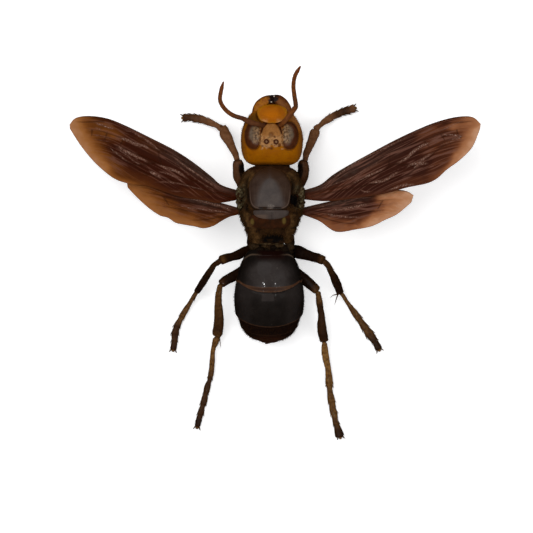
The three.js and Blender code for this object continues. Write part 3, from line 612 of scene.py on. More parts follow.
def headMasks(x, y, z):
    wobble = 0.22 * layeredNoise(np.stack([x, y, z], -1), 0.7, 11)
    form = face["band"]
    upper = smoothStep(z, 9.0, 10.5)
    band = smoothStep(form["half"] + wobble - np.abs(x - form["x"]), 0, 0.35)
    band = band * smoothStep(y + 3.0 * wobble, form["low"], form["low"] + 0.3)
    band = band * fadeOut(y, *form["top"]) * upper
    # dark in the antennal grooves and round the sockets: painted shade
    groove = np.zeros(x.shape)
    for line in face["grooves"]:
        away, along = distanceToLine(x, y, line)
        wide = face["grooveWide"] * (1.02 - 0.75 * along)
        groove = np.maximum(groove, fadeOut(away, 0.35 * wide, wide))
    for sx, sy in face["sockets"]:
        groove = np.maximum(groove, fadeOut(np.hypot(x - sx, y - sy), 0.35, 0.62))
    form = clypeusForm
    side, rise = np.abs(x - form["middle"][0]) / form["wide"], np.abs(y - form["middle"][1]) / form["long"]
    share = (side ** form["power"] + rise ** form["power"]) ** (1 / form["power"])
    # and a dark line round the clypeus: painted shade
    groove = np.maximum(groove, 0.75 * fadeOut(np.abs(share - 1.05), 0.02, 0.1))
    # a dark ring round each eye in its sunk orbit: painted shade
    orbit = np.zeros(x.shape)
    for eye in eyes.values():
        share = eyeShare(eye, x, y)
        orbit = np.maximum(orbit, fadeOut(np.abs(share - 1.04), 0.0, 0.14))
    rings = np.zeros(x.shape)
    for sx, sy in ocelli["spots"]:
        rings = np.maximum(rings, fadeOut(np.hypot(x - sx, y - sy), ocelli["ring"] - 0.12, ocelli["ring"]))
    rings = rings * (1 - 0.55 * smoothStep(y, 20.9, 21.1))
    for sx, sy in ocelli["freckles"]:
        rings = np.maximum(rings, 0.75 * fadeOut(np.hypot(x - sx, y - sy) + wobble, 0.08, 0.3))
    out = np.abs(x - headX)
    return {
        "shield": shieldMask(x, y) * upper, "band": band, "groove": groove * upper, "orbit": orbit * upper,
        "ocelliRing": rings * upper,
        "olive": smoothStep(y, 23.2, 24.3) * smoothStep(headX - x, 1.5, 2.6) * upper,
        "cheek": smoothStep(y, 21.6, 23.4) * smoothStep(x - headX, 2.9, 3.9),
        # rear: darker at the back of the head, a painted shadow
        "outer": smoothStep(out, 4.3, 5.6), "rear": fadeOut(y, 15.8, 16.8), "underside": fadeOut(z, 7.4, 9.4),
    }


def makeHeadShell():
    grid = trunkGrid(headForm, 260, 300)
    normals = gridNormals(grid)
    x, y, z = np.moveaxis(grid, -1, 0)
    masks = headMasks(x, y, z)
    rise = face["shield"]["rise"] * masks["shield"] - face["grooveDepth"] * masks["groove"]
    rise -= face["orbitDepth"] * masks["orbit"]
    rise += face["ridge"] * masks["band"] * layeredNoise(grid, 0.42, 3)
    form = headForm
    rise += form["ringRise"] * masks["ocelliRing"]
    rise += form["swell"] * layeredNoise(grid, 1.6, 5) + form["grit"] * layeredNoise(grid, 0.25, 9, 2)
    furrow = form["furrow"] * fadeOut(np.abs(x - headX + 0.06 * np.sin(2 * y)), 0.0, 0.16)
    rise -= furrow * smoothStep(y, 16.8, 17.6) * fadeOut(y, 19.4, 20.2) * smoothStep(z, 10, 11)
    rise += form["nape"] * fadeOut(np.abs(y - 16.75), 0.0, 0.14)
    grid = grid + normals * rise[..., None]
    finishPiece(newHeap(grid, masks), "head_shell", paintHead(), ["head"])
    free = smoothStep(y, 16.6, 17.4) * (1 - masks["groove"]) * (0.25 + 0.75 * smoothStep(y, 20.5, 23.5))
    for eye in eyes.values():
        free = free * smoothStep(eyeShare(eye, x, y), 1.05, 1.2)
    listHair("head_coat", grid, free, form["hairs"])


headLook = {
    "shader": {"roughness": 0.58, "specular": 0.02}, "grain": (0.12, 0.25, 1.5), "rough": (0.42, 0.62),
    "relief": 0.02, "base": ((0.31, 0.102, 0.0), (0.25, 0.07, 0.0), 2.2, 0.5, 0.2),
    "mottled": ((0.38, 0.185, 0.066), (0.19, 0.098, 0.04), 0.42, 0.56, 0.05),
    "rusty": {"First": (0.3, 0.1, 0.02), "Second": (0.16, 0.035, 0.01), "Size": 0.55, "Balance": 0.62,
              "Blur": 0.04},
    "layers": [
        # rear: painted shadow at the back of the head
        ("outer", 1, (0.16, 0.052, 0.005)), ("rear", 1, (0.11, 0.035, 0.004)),
        ("underside", 1, (0.2, 0.065, 0.006)),
        ("cheek", 1, (0.3, 0.11, 0.024)), ("olive", 1, (0.125, 0.046, 0.002)), ("band", 1, "mottled"),
        ("shield", 1, ((0.32, 0.135, 0.036), (0.26, 0.1, 0.024), 0.8)),
        # orbit and groove: painted shade
        ("orbit", 0.75, (0.07, 0.018, 0.003)),
        ("ocelliRing", 1, (0.05, 0.012, 0.004)), ("groove", 1, (0.04, 0.007, 0.001)),
    ],
    "shade": (0.12, 0.035, 0.003), "shadeDepth": 0.35, "shadeShare": 0.3,
}


def paintHead():
    look = headLook
    material, tree, target, grain = startLook("orangeShell", look)
    rusty = placeGroup(tree, blotches, **look["rusty"])
    mottled = mixColours(tree, rusty["Mask"], pickTone(tree, look["mottled"]), rusty["Colour"])
    colour = layOver(tree, pickTone(tree, look["base"]), look["layers"], {"mottled": mottled})
    deep = doMath(tree, "MULTIPLY", grain["Mottle"], look["shadeDepth"])
    dark = mixColours(tree, deep, colour, look["shade"], "MULTIPLY")
    tree.links.new(mixColours(tree, look["shadeShare"], colour, dark), target)
    return material


makeHeadShell()
print("head capsule made")


eyeForm = {"sink": 0.14, "lift": 0.62, "edge": 0.92, "skirt": 0.5, "dent": 0.12, "lumps": 0.07, "line": 0.02}


def eyeFloor(x, y):
    return trunkTop(headForm, x, y) - eyeForm["sink"]


def makeEyes():
    material = paintEye()
    for side, eye in eyes.items():
        grid = plateGrid(eyeOutline(eye, 150), eye["middle"], eyeFloor, eyeForm["lift"], eyeForm["edge"],
                         rings=90, skirt=eyeForm["skirt"])
        x, y = grid[..., 0], grid[..., 1]
        inward = (eye["middle"][0] - x) * eye["side"]
        wobble = 0.09 * layeredNoise(grid, 0.8, 21)
        sideways = np.where(inward > 0.5, 0.35, 1.0) * (inward - 0.5) / 1.35
        share = np.hypot(sideways, (y - eye["middle"][1] - 0.32) / 1.95) + wobble
        inner = fadeOut(share, 0.66, 1.08)
        relief = inner * (eyeForm["lumps"] * layeredNoise(grid, 0.45, 23) - eyeForm["dent"])
        relief -= eyeForm["line"] * fadeOut(np.abs(share - 1.0), 0.0, 0.1)
        grid[:-1, :, 2] += relief[:-1]
        heap = newHeap(grid, {"inner": inner, "grey": smoothStep(-inward, -0.5, 0.35)})
        finishPiece(heap, "eye_" + side + "_lens", material, ["eye_" + side])


eyeLook = {
    "shader": {"roughness": 0.4, "specular": 0.1, "coat": 0.05, "coatRoughness": 0.12}, "facets": 22.0,
    "relief": 0.006, "brown": ((0.08, 0.02, 0.004), (0.05, 0.011, 0.002), 1.1),
    "pale": ((0.27, 0.155, 0.075), (0.06, 0.027, 0.01), 0.42, 0.5, 0.09),
    "smoky": ((0.085, 0.056, 0.034), (0.145, 0.11, 0.078), 0.8, 0.5, 0.2),
}


def paintEye():
    look = eyeLook
    material, tree, shader = startMaterial("eyeLens", **look["shader"])
    pale = layOver(tree, pickTone(tree, look["pale"]), [("grey", 0.8, look["smoky"])])
    colour = layOver(tree, pickTone(tree, look["brown"]), [("inner", 1, "pale")], {"pale": pale})
    tree.links.new(colour, shader.inputs["Base Color"])
    facets = addNode(tree, "TexVoronoi", {"Vector": inMillimetres(tree), "Scale": look["facets"]})
    setBump(tree, shader, facets.outputs["Distance"], look["relief"])
    return material


def makeOcelli():
    material, tree, shader = startMaterial("ocellusGlass", roughness=0.3, specular=0.1, coat=0.1,
                                           coatRoughness=0.1)
    glass = placeGroup(tree, blotches, First=ocelli["pale"], Second=ocelli["deep"], Size=0.5)
    tree.links.new(glass["Colour"], shader.inputs["Base Color"])
    setBump(tree, shader, glass["Mask"], 0.004)
    heap = newHeap()
    radius = ocelli["radius"]
    for x, y in ocelli["spots"]:
        low = float(trunkTop(headForm, np.array(x), np.array(y)))
        addGrid(heap, ballGrid((x, y, low - 0.1), (radius, radius, radius)))
    finishPiece(heap, "ocelli", material)


# Clypeus and mouth

jaws = {    # centre line, half width along it, and which way its teeth face
    "left": {"line": [(-3.35, 24.6, 8.7), (-3.35, 26.0, 8.75), (-2.8, 27.15, 8.8), (-1.85, 27.85, 8.8),
                      (-0.55, 28.2, 8.75)],
             "wide": [0.8, 0.92, 0.9, 0.86, 0.78], "teeth": 1, "tipX": -1.4, "dark": 0.05,
             "glint": (-0.82, 27.6, 9.42)},
    "right": {"line": [(2.0, 24.6, 8.7), (2.0, 26.0, 8.8), (1.45, 27.15, 8.95), (0.55, 27.9, 9.05),
                       (-0.7, 28.2, 9.0)],
              "wide": [0.8, 0.92, 0.92, 0.92, 0.78], "teeth": -1, "tipX": 0.2, "dark": 0.75,
              "glint": (-0.3, 28.6, 9.55)},
}
jawForm = {
    "thick": 0.62, "teeth": [(0.5, 0.42), (0.38, 0.0), (0.42, -0.42)], "tooth": (0.36, 0.27, 0.36),
    "glint": (0.15, 0.13, 0.1), "mouth": (26.1, 8.35), "mouthReach": (2.95, 1.55, 1.0),
}


def superOutline(form, count=200, upPower=None, downPower=None, up=None, down=None):
    # rounded outline about a middle, with its own squareness above and below it
    angle = np.linspace(0, 2 * np.pi, count, endpoint=False)
    above = np.sin(angle) > 0
    power = np.where(above, upPower or form["power"], downPower or form["power"])
    side = np.sign(np.cos(angle)) * np.abs(np.cos(angle)) ** (2 / power)
    rise = np.sign(np.sin(angle)) * np.abs(np.sin(angle)) ** (2 / power)
    reach = np.where(above, up or form["long"], down or form["long"])
    pinch = np.where(above, 0.0, form.get("pinch", 0.0)) * np.abs(rise)
    return np.column_stack([form["middle"][0] + form["wide"] * side * (1 - pinch),
                            form["middle"][1] + reach * rise])


def clypeusTop(x, y):
    form = clypeusForm
    t = np.clip((y - form["start"]) / form["run"], 0, 1)
    plane = form["high"] - form["fall"] * t + form["bulge"] * np.sin(np.pi * t)
    plane = plane - form["side"] * ((x - form["middle"][0]) / form["wide"]) ** 2
    over = trunkTop(headForm, x, np.minimum(y, 26.0)) + 0.04
    return np.where(y < 25.6, np.maximum(plane, over), plane)


clypeusLook = {
    "shader": {"roughness": 0.5, "specular": 0.05}, "grain": (0.16, 0.5, 1.0), "relief": 0.025,
    "base": ((0.38, 0.11, 0.002), (0.33, 0.085, 0.001), 1.5),
    "layers": [("middle", 1, (0.43, 0.118, 0.001)), ("rim", 0.8, (0.37, 0.142, 0.002)),
               # lumps: pale spots painted as highlights
               ("lumps", 1, ((0.52, 0.25, 0.09), (0.34, 0.1, 0.01), 0.3))],
}


def makeClypeus():
    form = clypeusForm
    grid = plateGrid(superOutline(form, upPower=3.6), form["middle"], clypeusTop, form["lift"], 0.22,
                     rings=90, skirt=0.8)
    x, y = grid[..., 0], grid[..., 1]
    # lumpy base corners, with pale spots on them: painted highlights
    lumps = fadeOut(y, 23.95, 24.7) * smoothStep(np.abs(x - form["middle"][0]), 0.5, 1.1)
    relief = 0.02 * layeredNoise(grid, 0.9, 31) + 0.1 * lumps * layeredNoise(grid, 0.38, 33)
    middle = fadeOut(np.hypot((x + 0.6) / 2.0, (y - 25.2) / 1.3), 0.3, 1.1)
    grid[:-1, :, 2] += relief[:-1]
    out = np.hypot((x - form["middle"][0]) / form["wide"], (y - form["middle"][1]) / form["long"])
    heap = newHeap(grid, {"middle": middle, "lumps": lumps, "rim": smoothStep(out, 0.78, 1.02)})
    finishPiece(heap, "clypeus_shield", paintLook("clypeusShell", clypeusLook), ["clypeus"])


def makeJaws():
    material = paintLook("jawShell", jawLook)
    for side, jaw in jaws.items():
        heap = newHeap()
        t = np.linspace(0, 1, 120)
        path = smoothPath(jaw["line"], 120)
        wide = spline(np.array(jaw["wide"])[:, None], t)[:, 0] * roundEnds(t, 0.06, 0.09, 0.3)
        grid = limbGrid(path, wide, jawForm["thick"] * roundEnds(t, 0.06, 0.12, 0.3), 90, power=2.3)
        grid += gridNormals(grid) * (0.03 * layeredNoise(grid, 0.9, 41))[..., None]
        x, y = grid[..., 0], grid[..., 1]
        ragged = 0.5 * layeredNoise(grid, 0.6, 43)
        tip = smoothStep((x - jaw["tipX"]) * jaw["teeth"] + ragged, -0.35, 0.35)
        edge = np.hypot(x + 0.7, (y - 25.3) / 1.05)
        rim = smoothStep(edge + ragged, 3.15, 3.6)
        addGrid(heap, grid, {"tip": tip, "dark": jaw["dark"], "rim": rim, "glint": 0.0})
        for k, (forward, back) in enumerate(jawForm["teeth"]):
            spot = path[-1] + np.array([jaw["teeth"] * (forward - 0.45), back, 0.12 - 0.1 * k])
            addGrid(heap, ballGrid(spot, jawForm["tooth"]),
                    {"tip": 1.0, "dark": 1.0, "rim": 0.0, "glint": 0.0})
        glint = ballGrid(jaw["glint"], jawForm["glint"], 10, 16)
        addGrid(heap, glint, {"tip": 0.0, "dark": 0.0, "rim": 0.0, "glint": 1.0})
        finishPiece(heap, "jaw_" + side, material, ["mandible_" + side])
    mouth = ballGrid((headX, *jawForm["mouth"]), jawForm["mouthReach"])
    masks = {"tip": 0.35, "dark": 1.0, "rim": 1.0, "glint": 0.0}
    finishPiece(newHeap(mouth, masks), "mouth_parts", material)


jawLook = {
    "shader": {"roughness": 0.48, "specular": 0.06}, "grain": (0.2, 0.3, 0.7), "relief": 0.02,
    "base": ((0.32, 0.108, 0.003), (0.19, 0.048, 0.002), 0.6),
    "layers": [("dark", 1, ((0.145, 0.05, 0.013), (0.09, 0.025, 0.006), 1.0)),
               ("rim", 1, (0.09, 0.022, 0.004)),
               ("tip", 1, (0.01, 0.003, 0.002)), ("glint", 1, (0.5, 0.42, 0.34))],
}


# Antennae

scapes = {
    "left": {"line": [(-2.2, 23.15, 12.2), (-3.3, 23.45, 13.3), (-4.6, 23.8, 13.6), (-6.0, 24.5, 13.1)],
             "dark": 0.6},
    "right": {"line": [(0.8, 23.2, 12.2), (1.6, 24.0, 13.3), (2.6, 25.2, 13.4), (3.6, 26.6, 12.7)],
              "dark": 0.1},
}
whips = {
    "left": [(-6.0, 24.5, 13.1), (-7.8, 25.1, 12.7), (-9.3, 26.3, 12.1), (-10.1, 27.8, 11.4),
             (-9.95, 29.5, 10.7), (-9.5, 31.3, 10.2)],
    "right": [(3.6, 26.6, 12.7), (3.35, 28.8, 12.2), (3.2, 30.5, 11.6), (3.5, 32.3, 11.0), (4.5, 34.1, 10.5)],
}
antenna = {"scape": [(0, 0.5), (0.12, 0.4), (0.2, 0.43), (0.6, 0.5), (1, 0.47)], "root": (0.55, 0.55, 0.4),
           "whip": (0.43, 0.36), "joints": 11, "waist": 0.1, "taper": 0.55}


def makeAntennae():
    material = paintLook("antennaShell", antennaLook)
    for side in scapes:
        heap = newHeap()
        t = np.linspace(0, 1, 90)
        path = smoothPath(scapes[side]["line"], 90)
        radius = np.interp(t, *np.array(antenna["scape"]).T) * roundEnds(t, 0.05, 0.07)
        grid = limbGrid(path, radius, radius, 40)
        grid += gridNormals(grid) * (0.02 * layeredNoise(grid, 0.5, 51))[..., None]
        addGrid(heap, grid, {"joint": smoothStep(t, 0.9, 1.0)[:, None], "dark": scapes[side]["dark"],
                             "tip": 0.0})
        addGrid(heap, ballGrid(path[0] + [0, 0, -0.05], antenna["root"]),
                {"joint": 1.0, "dark": 1.0, "tip": 0.0})
        finishPiece(heap, "antenna_" + side + "_scape", material, ["scape_" + side])
        heap = newHeap()
        t = np.linspace(0, 1, 264)
        elbow = np.array(scapes[side]["line"][-2]) * 0.25 + np.array(whips[side][0]) * 0.75
        path = smoothPath([elbow] + whips[side], 264)
        phase = (t * antenna["joints"]) % 1
        pinch = antenna["waist"] * (np.abs(2 * phase - 1) ** 8)
        radius = (antenna["whip"][0] + (antenna["whip"][1] - antenna["whip"][0]) * t) * (1 - pinch)
        radius *= 1 - antenna["taper"] * smoothStep(t, 0.86, 1.0)
        grid = limbGrid(path, radius * roundEnds(t, 0.015, 0.03), radius * roundEnds(t, 0.015, 0.03), 36)
        joint = (np.abs(2 * phase - 1) ** 6)[:, None]
        addGrid(heap, grid, {"joint": joint, "dark": (0.75 * fadeOut(t, 0.12, 0.3))[:, None],
                             "tip": smoothStep(t, 0.55, 1.0)[:, None]})
        finishPiece(heap, "antenna_" + side + "_whip", material, ["flagellum_" + side])


antennaLook = {
    "shader": {"roughness": 0.6, "specular": 0.04}, "grain": (0.09, 0.3, 0.6), "relief": 0.012,
    "base": ((0.165, 0.05, 0.01), (0.095, 0.025, 0.005), 0.5),
    "layers": [("tip", 1, (0.14, 0.036, 0.01)), ("dark", 1, (0.07, 0.026, 0.012)),
               ("joint", 0.65, (0.045, 0.015, 0.007))],
}


makeEyes()
makeOcelli()
makeClypeus()
makeJaws()
makeAntennae()
print("eyes, mouth and antennae made")


# Thorax: one skin under separate back plates

thoraxForm = {
    "x": thoraxX, "power": 2.3, "roof": 14.92, "lumps": 0.09, "grit": 0.05, "moss": 0.12,
    "ochreRise": 0.14, "grooveDepth": 0.24, "dipDepth": 0.55, "hairs": 8200, "rows": [
        [15.95, 2.9, 12.2, 7.9], [15.2, 4.35, 13.5, 6.7], [14.2, 5.05, 14.15, 6.0], [12.3, 5.75, 14.6, 5.5],
        [10.0, 5.95, 14.75, 5.3], [8.0, 5.9, 14.65, 5.3], [6.5, 5.5, 14.1, 5.6], [5.2, 4.95, 13.45, 6.1],
        [3.8, 4.4, 12.7, 6.9], [1.9, 3.45, 11.6, 8.6]],
}
backPlates = {
    "scutum": {"middle": (-1.07, 11.85), "wide": 3.82, "long": 3.9, "power": 1.72, "pinch": 0.05,
               "lift": 0.2},
    "scutellum": {"middle": (-0.86, 7.45), "wide": 3.2, "long": 1.2, "power": 2.3, "lift": 0.3},
    "metanotum": {"middle": (-1.1, 5.95), "wide": 3.9, "long": 1.4, "power": 2.6, "lift": 0.16},
}
sutures = [    # Y, Z lines of the grooves down each side of the thorax
    [(10.4, 12.9), (12.6, 9.6), (15.1, 6.6)], [(8.9, 13.2), (6.6, 10.2), (5.9, 6.6)],
    [(4.6, 12.6), (4.9, 9.0), (4.4, 7.0)],
]
ochreLines = [    # X, Y lines of the ochre patches, how wide and how strong they are
    ([(-6.2, 11.9), (-5.3, 13.3), (-4.6, 14.3)], 1.0, 1.0),
    ([(2.6, 14.4), (3.4, 13.4), (4.1, 12.6)], 0.9, 0.8),
    ([(-5.2, 7.0), (-4.9, 5.6), (-4.3, 4.3)], 0.9, 0.9), ([(2.9, 6.8), (3.1, 5.4), (2.5, 4.0)], 0.9, 0.8),
    ([(-4.2, 3.6), (-3.3, 2.9), (-3.6, 2.2)], 1.0, 0.8), ([(2.4, 3.4), (2.2, 2.4)], 0.8, 0.6),
]
hindLumps = [    # X, Y, Z, half sizes and darkness of the lumps between thorax and gaster
    (-3.9, 1.35, 10.3, (1.1, 0.75, 0.9), 0.35), (-2.9, 0.75, 10.6, (0.9, 0.6, 0.8), 0.9),
    (-1.9, 1.35, 10.9, (0.8, 0.42, 0.6), 0.2), (-1.5, 0.55, 10.6, (0.7, 0.55, 0.8), 0.8),
    (-0.5, 1.1, 10.9, (0.75, 0.55, 0.7), 0.95), (0.35, 0.6, 10.7, (0.75, 0.5, 0.7), 0.6),
    (0.6, 1.45, 10.9, (0.95, 0.36, 0.6), 0.15), (1.6, 0.9, 10.6, (0.85, 0.75, 0.8), 0.85),
    (2.5, 1.3, 10.3, (0.9, 0.85, 0.9), 0.4), (-4.0, 0.4, 9.6, (0.75, 0.6, 0.9), 0.6),
    (2.6, 0.3, 9.6, (0.7, 0.6, 0.9), 0.7), (-0.9, 1.75, 10.9, (2.6, 0.22, 0.5), 0.0),
]


def thoraxTop(x, y):
    return trunkTop(thoraxForm, x, y)


def plateShare(plate, x, y, wider=0.2, longer=0.2):
    # 1 along a line that runs just outside a back plate
    (middleX, middleY), wide, long = plate["middle"], plate["wide"] + wider, plate["long"] + longer
    return np.hypot((x - middleX) / wide, (y - middleY) / long)


def thoraxMasks(grid):
    x, y, z = np.moveaxis(grid, -1, 0)
    ragged = layeredNoise(grid, 0.8, 69)
    # dark in the side grooves and round the scutum: painted shade
    groove = np.zeros(x.shape)
    flank = smoothStep(np.abs(x - thoraxX), 3.2, 4.2)
    for line in sutures:
        away, _ = distanceToLine(y, z, line)
        groove = np.maximum(groove, fadeOut(away, 0.05, 0.3) * flank)
    high = smoothStep(z, 10.0, 11.5)
    out = plateShare(backPlates["scutum"], x, y, 0.3)
    gutter = fadeOut(np.abs(out - 1.06 + 0.04 * ragged), 0.02, 0.14) * smoothStep(y, 6.5, 8.0)
    gutter = gutter * (1 - 0.85 * smoothStep(y, 13.4, 14.6))
    groove = np.maximum(groove, 0.95 * gutter * high)
    # near-black in the hollows at the rear and the sides of the thorax: painted shade
    dip = fadeOut(np.hypot((x + 0.5 - 0.2 * (y - 2.4)) / 2.7, (y - 2.5) / 1.0) + 0.15 * ragged, 0.6, 1.05)
    hollow = fadeOut(np.hypot((x - 3.55) / 1.05, (y - 9.7) / 1.45) + 0.2 * ragged, 0.6, 1.1)
    hollow = np.maximum(hollow, 0.8 * fadeOut(np.hypot((x + 5.4) / 0.5, (y - 8.2) / 0.9), 0.4, 1.1))
    ochre = np.zeros(x.shape)
    for line, wide, strength in ochreLines:
        away, _ = distanceToLine(x, y, line)
        ochre = np.maximum(ochre, strength * fadeOut(away + 0.25 * ragged, 0.2 * wide, wide))
    moss = smoothStep(np.abs(x - thoraxX), 4.0, 4.9) * smoothStep(y, 7.4, 8.8) * fadeOut(y, 12.2, 13.2)
    return {"groove": groove, "dip": np.maximum(dip, hollow) * high,
            "ochre": np.clip(ochre, 0, 1) * smoothStep(z, 8.0, 9.5),
            "front": smoothStep(y, 13.4, 15.2), "mossy": moss * (0.5 + 0.5 * ragged)}


def makeThorax():
    grid = trunkGrid(thoraxForm, 230, 260)
    masks = thoraxMasks(grid)
    form = thoraxForm
    rise = form["lumps"] * layeredNoise(grid, 1.5, 63) + form["grit"] * layeredNoise(grid, 0.4, 65)
    relief = form["ochreRise"] * masks["ochre"] - form["grooveDepth"] * masks["groove"]
    rise += relief - form["dipDepth"] * masks["dip"]
    rise += form["moss"] * masks["mossy"] * layeredNoise(grid, 0.5, 67)
    grid = grid + gridNormals(grid) * rise[..., None]
    grid[..., 2] = np.minimum(grid[..., 2], form["roof"])
    heap = newHeap(grid, masks)
    t = np.linspace(0, 1, 50)
    plain = dict.fromkeys(masks, 0.0)
    neckLine = smoothPath([(headX, 14.4, 9.7), (headX + 0.2, 16.9, 9.4)], 50)
    neck = limbGrid(neckLine, 3.5 - 0.5 * t, 1.6 - 0.2 * t, 80)
    # the neck is darkened with the grooves' and hollows' painted shade
    addGrid(heap, neck, {**plain, "groove": 0.8, "dip": 0.3, "front": 1.0})
    waist = limbGrid(smoothPath([(-1.05, 3.0, 10.3), (-1.05, 0.6, 9.6)], 50), 1.6 - 0.5 * np.sin(np.pi * t),
                     1.3 - 0.4 * np.sin(np.pi * t), 80)
    # the waist is darkened with the grooves' painted shade
    addGrid(heap, waist, {**plain, "groove": 0.8})
    for k, (x, y, z, reach, dark) in enumerate(hindLumps):
        lump = ballGrid((x, y, z - 0.4), reach, 26, 40)
        lump += gridNormals(lump) * (0.13 * layeredNoise(lump, 0.5, 160 + k))[..., None]
        # darker lumps in the gap before the gaster take the same painted shade
        addGrid(heap, lump, {**plain, "groove": dark, "dip": 0.6 * dark, "ochre": 0.15 * (1 - dark),
                             "mossy": 0.3 * (1 - dark)})
    finishPiece(heap, "thorax_skin", paintLook("thoraxShell", thoraxLook),
                ["pronotum", "thorax_side", "propodeum", "petiole"])
    x, y = grid[..., 0], grid[..., 1]
    free = np.ones(x.shape)
    for plate in backPlates.values():
        free = free * np.where(grid[..., 2] > 11.0, smoothStep(plateShare(plate, x, y), 1.0, 1.1), 1.0)
    free = free * (1 - masks["dip"]) * smoothStep(y, 1.9, 2.3) * fadeOut(y, 15.0, 15.5)
    listHair("thorax_coat", grid, free * (0.5 + 0.5 * masks["ochre"] + 0.5 * masks["mossy"]), form["hairs"])


thoraxLook = {
    "shader": {"roughness": 0.75, "specular": 0.03}, "grain": (0.14, 0.5, 0.8), "relief": 0.05,
    "base": ((0.036, 0.0145, 0.0035), (0.01, 0.0035, 0.001), 0.85, 0.5, 0.14),
    "specks": (0.42, 0.13, "mossy"), "layers": [
        ("front", 0.8, ((0.046, 0.018, 0.006), (0.024, 0.008, 0.003), 1.0)),
        ("ochre", 0.8, ((0.125, 0.062, 0.02), (0.06, 0.027, 0.007), 0.6)),
        ("mossy", 1, ((0.098, 0.078, 0.04), (0.028, 0.018, 0.007), 0.42, 0.5, 0.06)),
        # groove and dip: near-black painted shade in the grooves and hollows
        ("specks", 0.8, (0.24, 0.22, 0.15)), ("groove", 0.85, (0.008, 0.004, 0.0015)),
        ("dip", 1, (0.0025, 0.0015, 0.001)),
    ],
}


def makeScutum():
    form = backPlates["scutum"]
    outline = superOutline(form, 260, downPower=4.6)
    grid = plateGrid(outline, form["middle"], thoraxTop, form["lift"], 0.1, rings=130, skirt=0.6)
    x, y = grid[..., 0], grid[..., 1]
    out = np.abs(x - form["middle"][0])
    share = np.linspace(0.02, 1, 130)[:, None]
    share = np.vstack([np.sin(share * np.pi / 2), [[1.0]]])
    line = fadeOut(np.abs(share - 0.955), 0.0, 0.035) * smoothStep(13.8 - y, 0, 4.5)
    half = 2.35 * np.maximum(0, 1 - np.clip((y - 8.7) / 5.0, 0, 1) ** 1.7) ** 0.6
    # a bell-shaped grey patch over the middle of the plate: painted sheen, the lamps' broad reflection
    wax = smoothStep(half - out, -0.7, 0.5) * smoothStep(y, 8.1, 8.9)
    # near-black in the groove across the back: painted shade
    groove = fadeOut(np.abs(y - 8.22), 0.05, 0.22)
    groove = groove * smoothStep(1.95 - np.abs(np.abs(x + 1.05) - 0.3), 0.0, 0.4)
    groove = groove * smoothStep(np.abs(x + 0.95), 0.3, 0.5)
    wrinkle = fadeOut(np.hypot((x + 0.9) / 0.75, (y - 8.55) / 0.5), 0.5, 1.1)
    streak = fadeOut(np.abs(out - 2.55 - 0.06 * (y - 10)), 0.0, 0.14)
    relief = 0.03 * layeredNoise(grid, 1.4, 71) + 0.035 * line - 0.16 * groove
    relief += 0.05 * wrinkle * layeredNoise(grid * [1.0, 1.6, 1.0], 0.22, 73) - 0.02 * streak
    grid[:-1, :, 2] += relief[:-1]
    heap = newHeap(grid, {"wax": wax, "ridge": line, "groove": groove, "wrinkle": wrinkle,
                          "front": smoothStep(y, 12.9, 15.0)})
    finishPiece(heap, "scutum_plate", paintLook("backPlateShell", backPlateLook), ["mesoscutum"])


backPlateLook = {
    "shader": {"roughness": 0.48, "specular": 0.09}, "grain": (0.1, 0.2, 1.4), "rough": (0.42, 0.55),
    "relief": 0.02, "base": ((0.04, 0.02, 0.011), (0.028, 0.012, 0.006), 1.3), "specks": (0.9, 0.1, None),
    "layers": [
        # grey over the middle of the back plates: painted sheen
        ("wax", 1, ((0.066, 0.05, 0.042), (0.05, 0.038, 0.034), 1.6)),
        ("front", 0.8, (0.036, 0.014, 0.005)),
        # groove: painted shade
        ("ridge", 0.75, (0.105, 0.066, 0.046)), ("groove", 1, (0.006, 0.004, 0.003)),
        ("wrinkle", 0.6, ((0.24, 0.2, 0.17), (0.05, 0.035, 0.03), 0.16)), ("specks", 0.5, (0.2, 0.15, 0.11)),
    ],
}
rustyLook = {
    "shader": {"roughness": 0.6, "specular": 0.03}, "grain": (0.15, 0.4, 0.9), "relief": 0.04,
    "base": ((0.04, 0.011, 0.0025), (0.02, 0.007, 0.002), 1.2),
    "layers": [("patch", 0.7, (0.13, 0.085, 0.02))],
}


def makeHindPlates():
    form = backPlates["scutellum"]
    outline = superOutline(form, 200, upPower=7.0, downPower=2.2, up=0.42, down=1.28)
    grid = plateGrid(outline, form["middle"], thoraxTop, form["lift"], 0.2, rings=70, skirt=0.6)
    x, y = grid[..., 0], grid[..., 1]
    # a thin groove down the middle of the scutellum, darkened as painted shade
    middle = fadeOut(np.abs(x + 0.72), 0.0, 0.09)
    edge = smoothStep(-x, 1.0, 2.2) * fadeOut(y, 6.9, 7.2)
    grid[:-1, :, 2] += (0.03 * layeredNoise(grid, 0.8, 75) - 0.05 * middle)[:-1]
    # the scutellum is mostly covered by the painted sheen
    heap = newHeap(grid, {"wax": 0.75, "ridge": edge, "groove": 0.5 * middle, "wrinkle": 0.0, "front": 0.0})
    finishPiece(heap, "scutellum_plate", bpy.data.materials["backPlateShell"], ["scutellum"])
    form = backPlates["metanotum"]
    outline = superOutline(form, 220, upPower=5.0, downPower=2.6, up=1.1, down=1.5)
    grid = plateGrid(outline, form["middle"], thoraxTop, form["lift"], 0.18, rings=70, skirt=0.5)
    x, y = grid[..., 0], grid[..., 1]
    grid[:-1, :, 2] += (0.05 * layeredNoise(grid, 0.9, 77))[:-1]
    patch = np.zeros(x.shape)
    for spot in ((-4.3, 5.75), (1.5, 5.95)):
        patch = np.maximum(patch, fadeOut(np.hypot((x - spot[0]) / 0.45, (y - spot[1]) / 0.75), 0.4, 1.1))
    finishPiece(newHeap(grid, {"patch": patch}), "metanotum_plate", paintLook("rustyPlate", rustyLook),
                ["metanotum"])


tegula = {"middle": (5.6, 10.9, 13.0), "reach": (0.68, 1.3, 0.55), "lumps": 5, "lump": (0.55, 0.5, 0.5)}


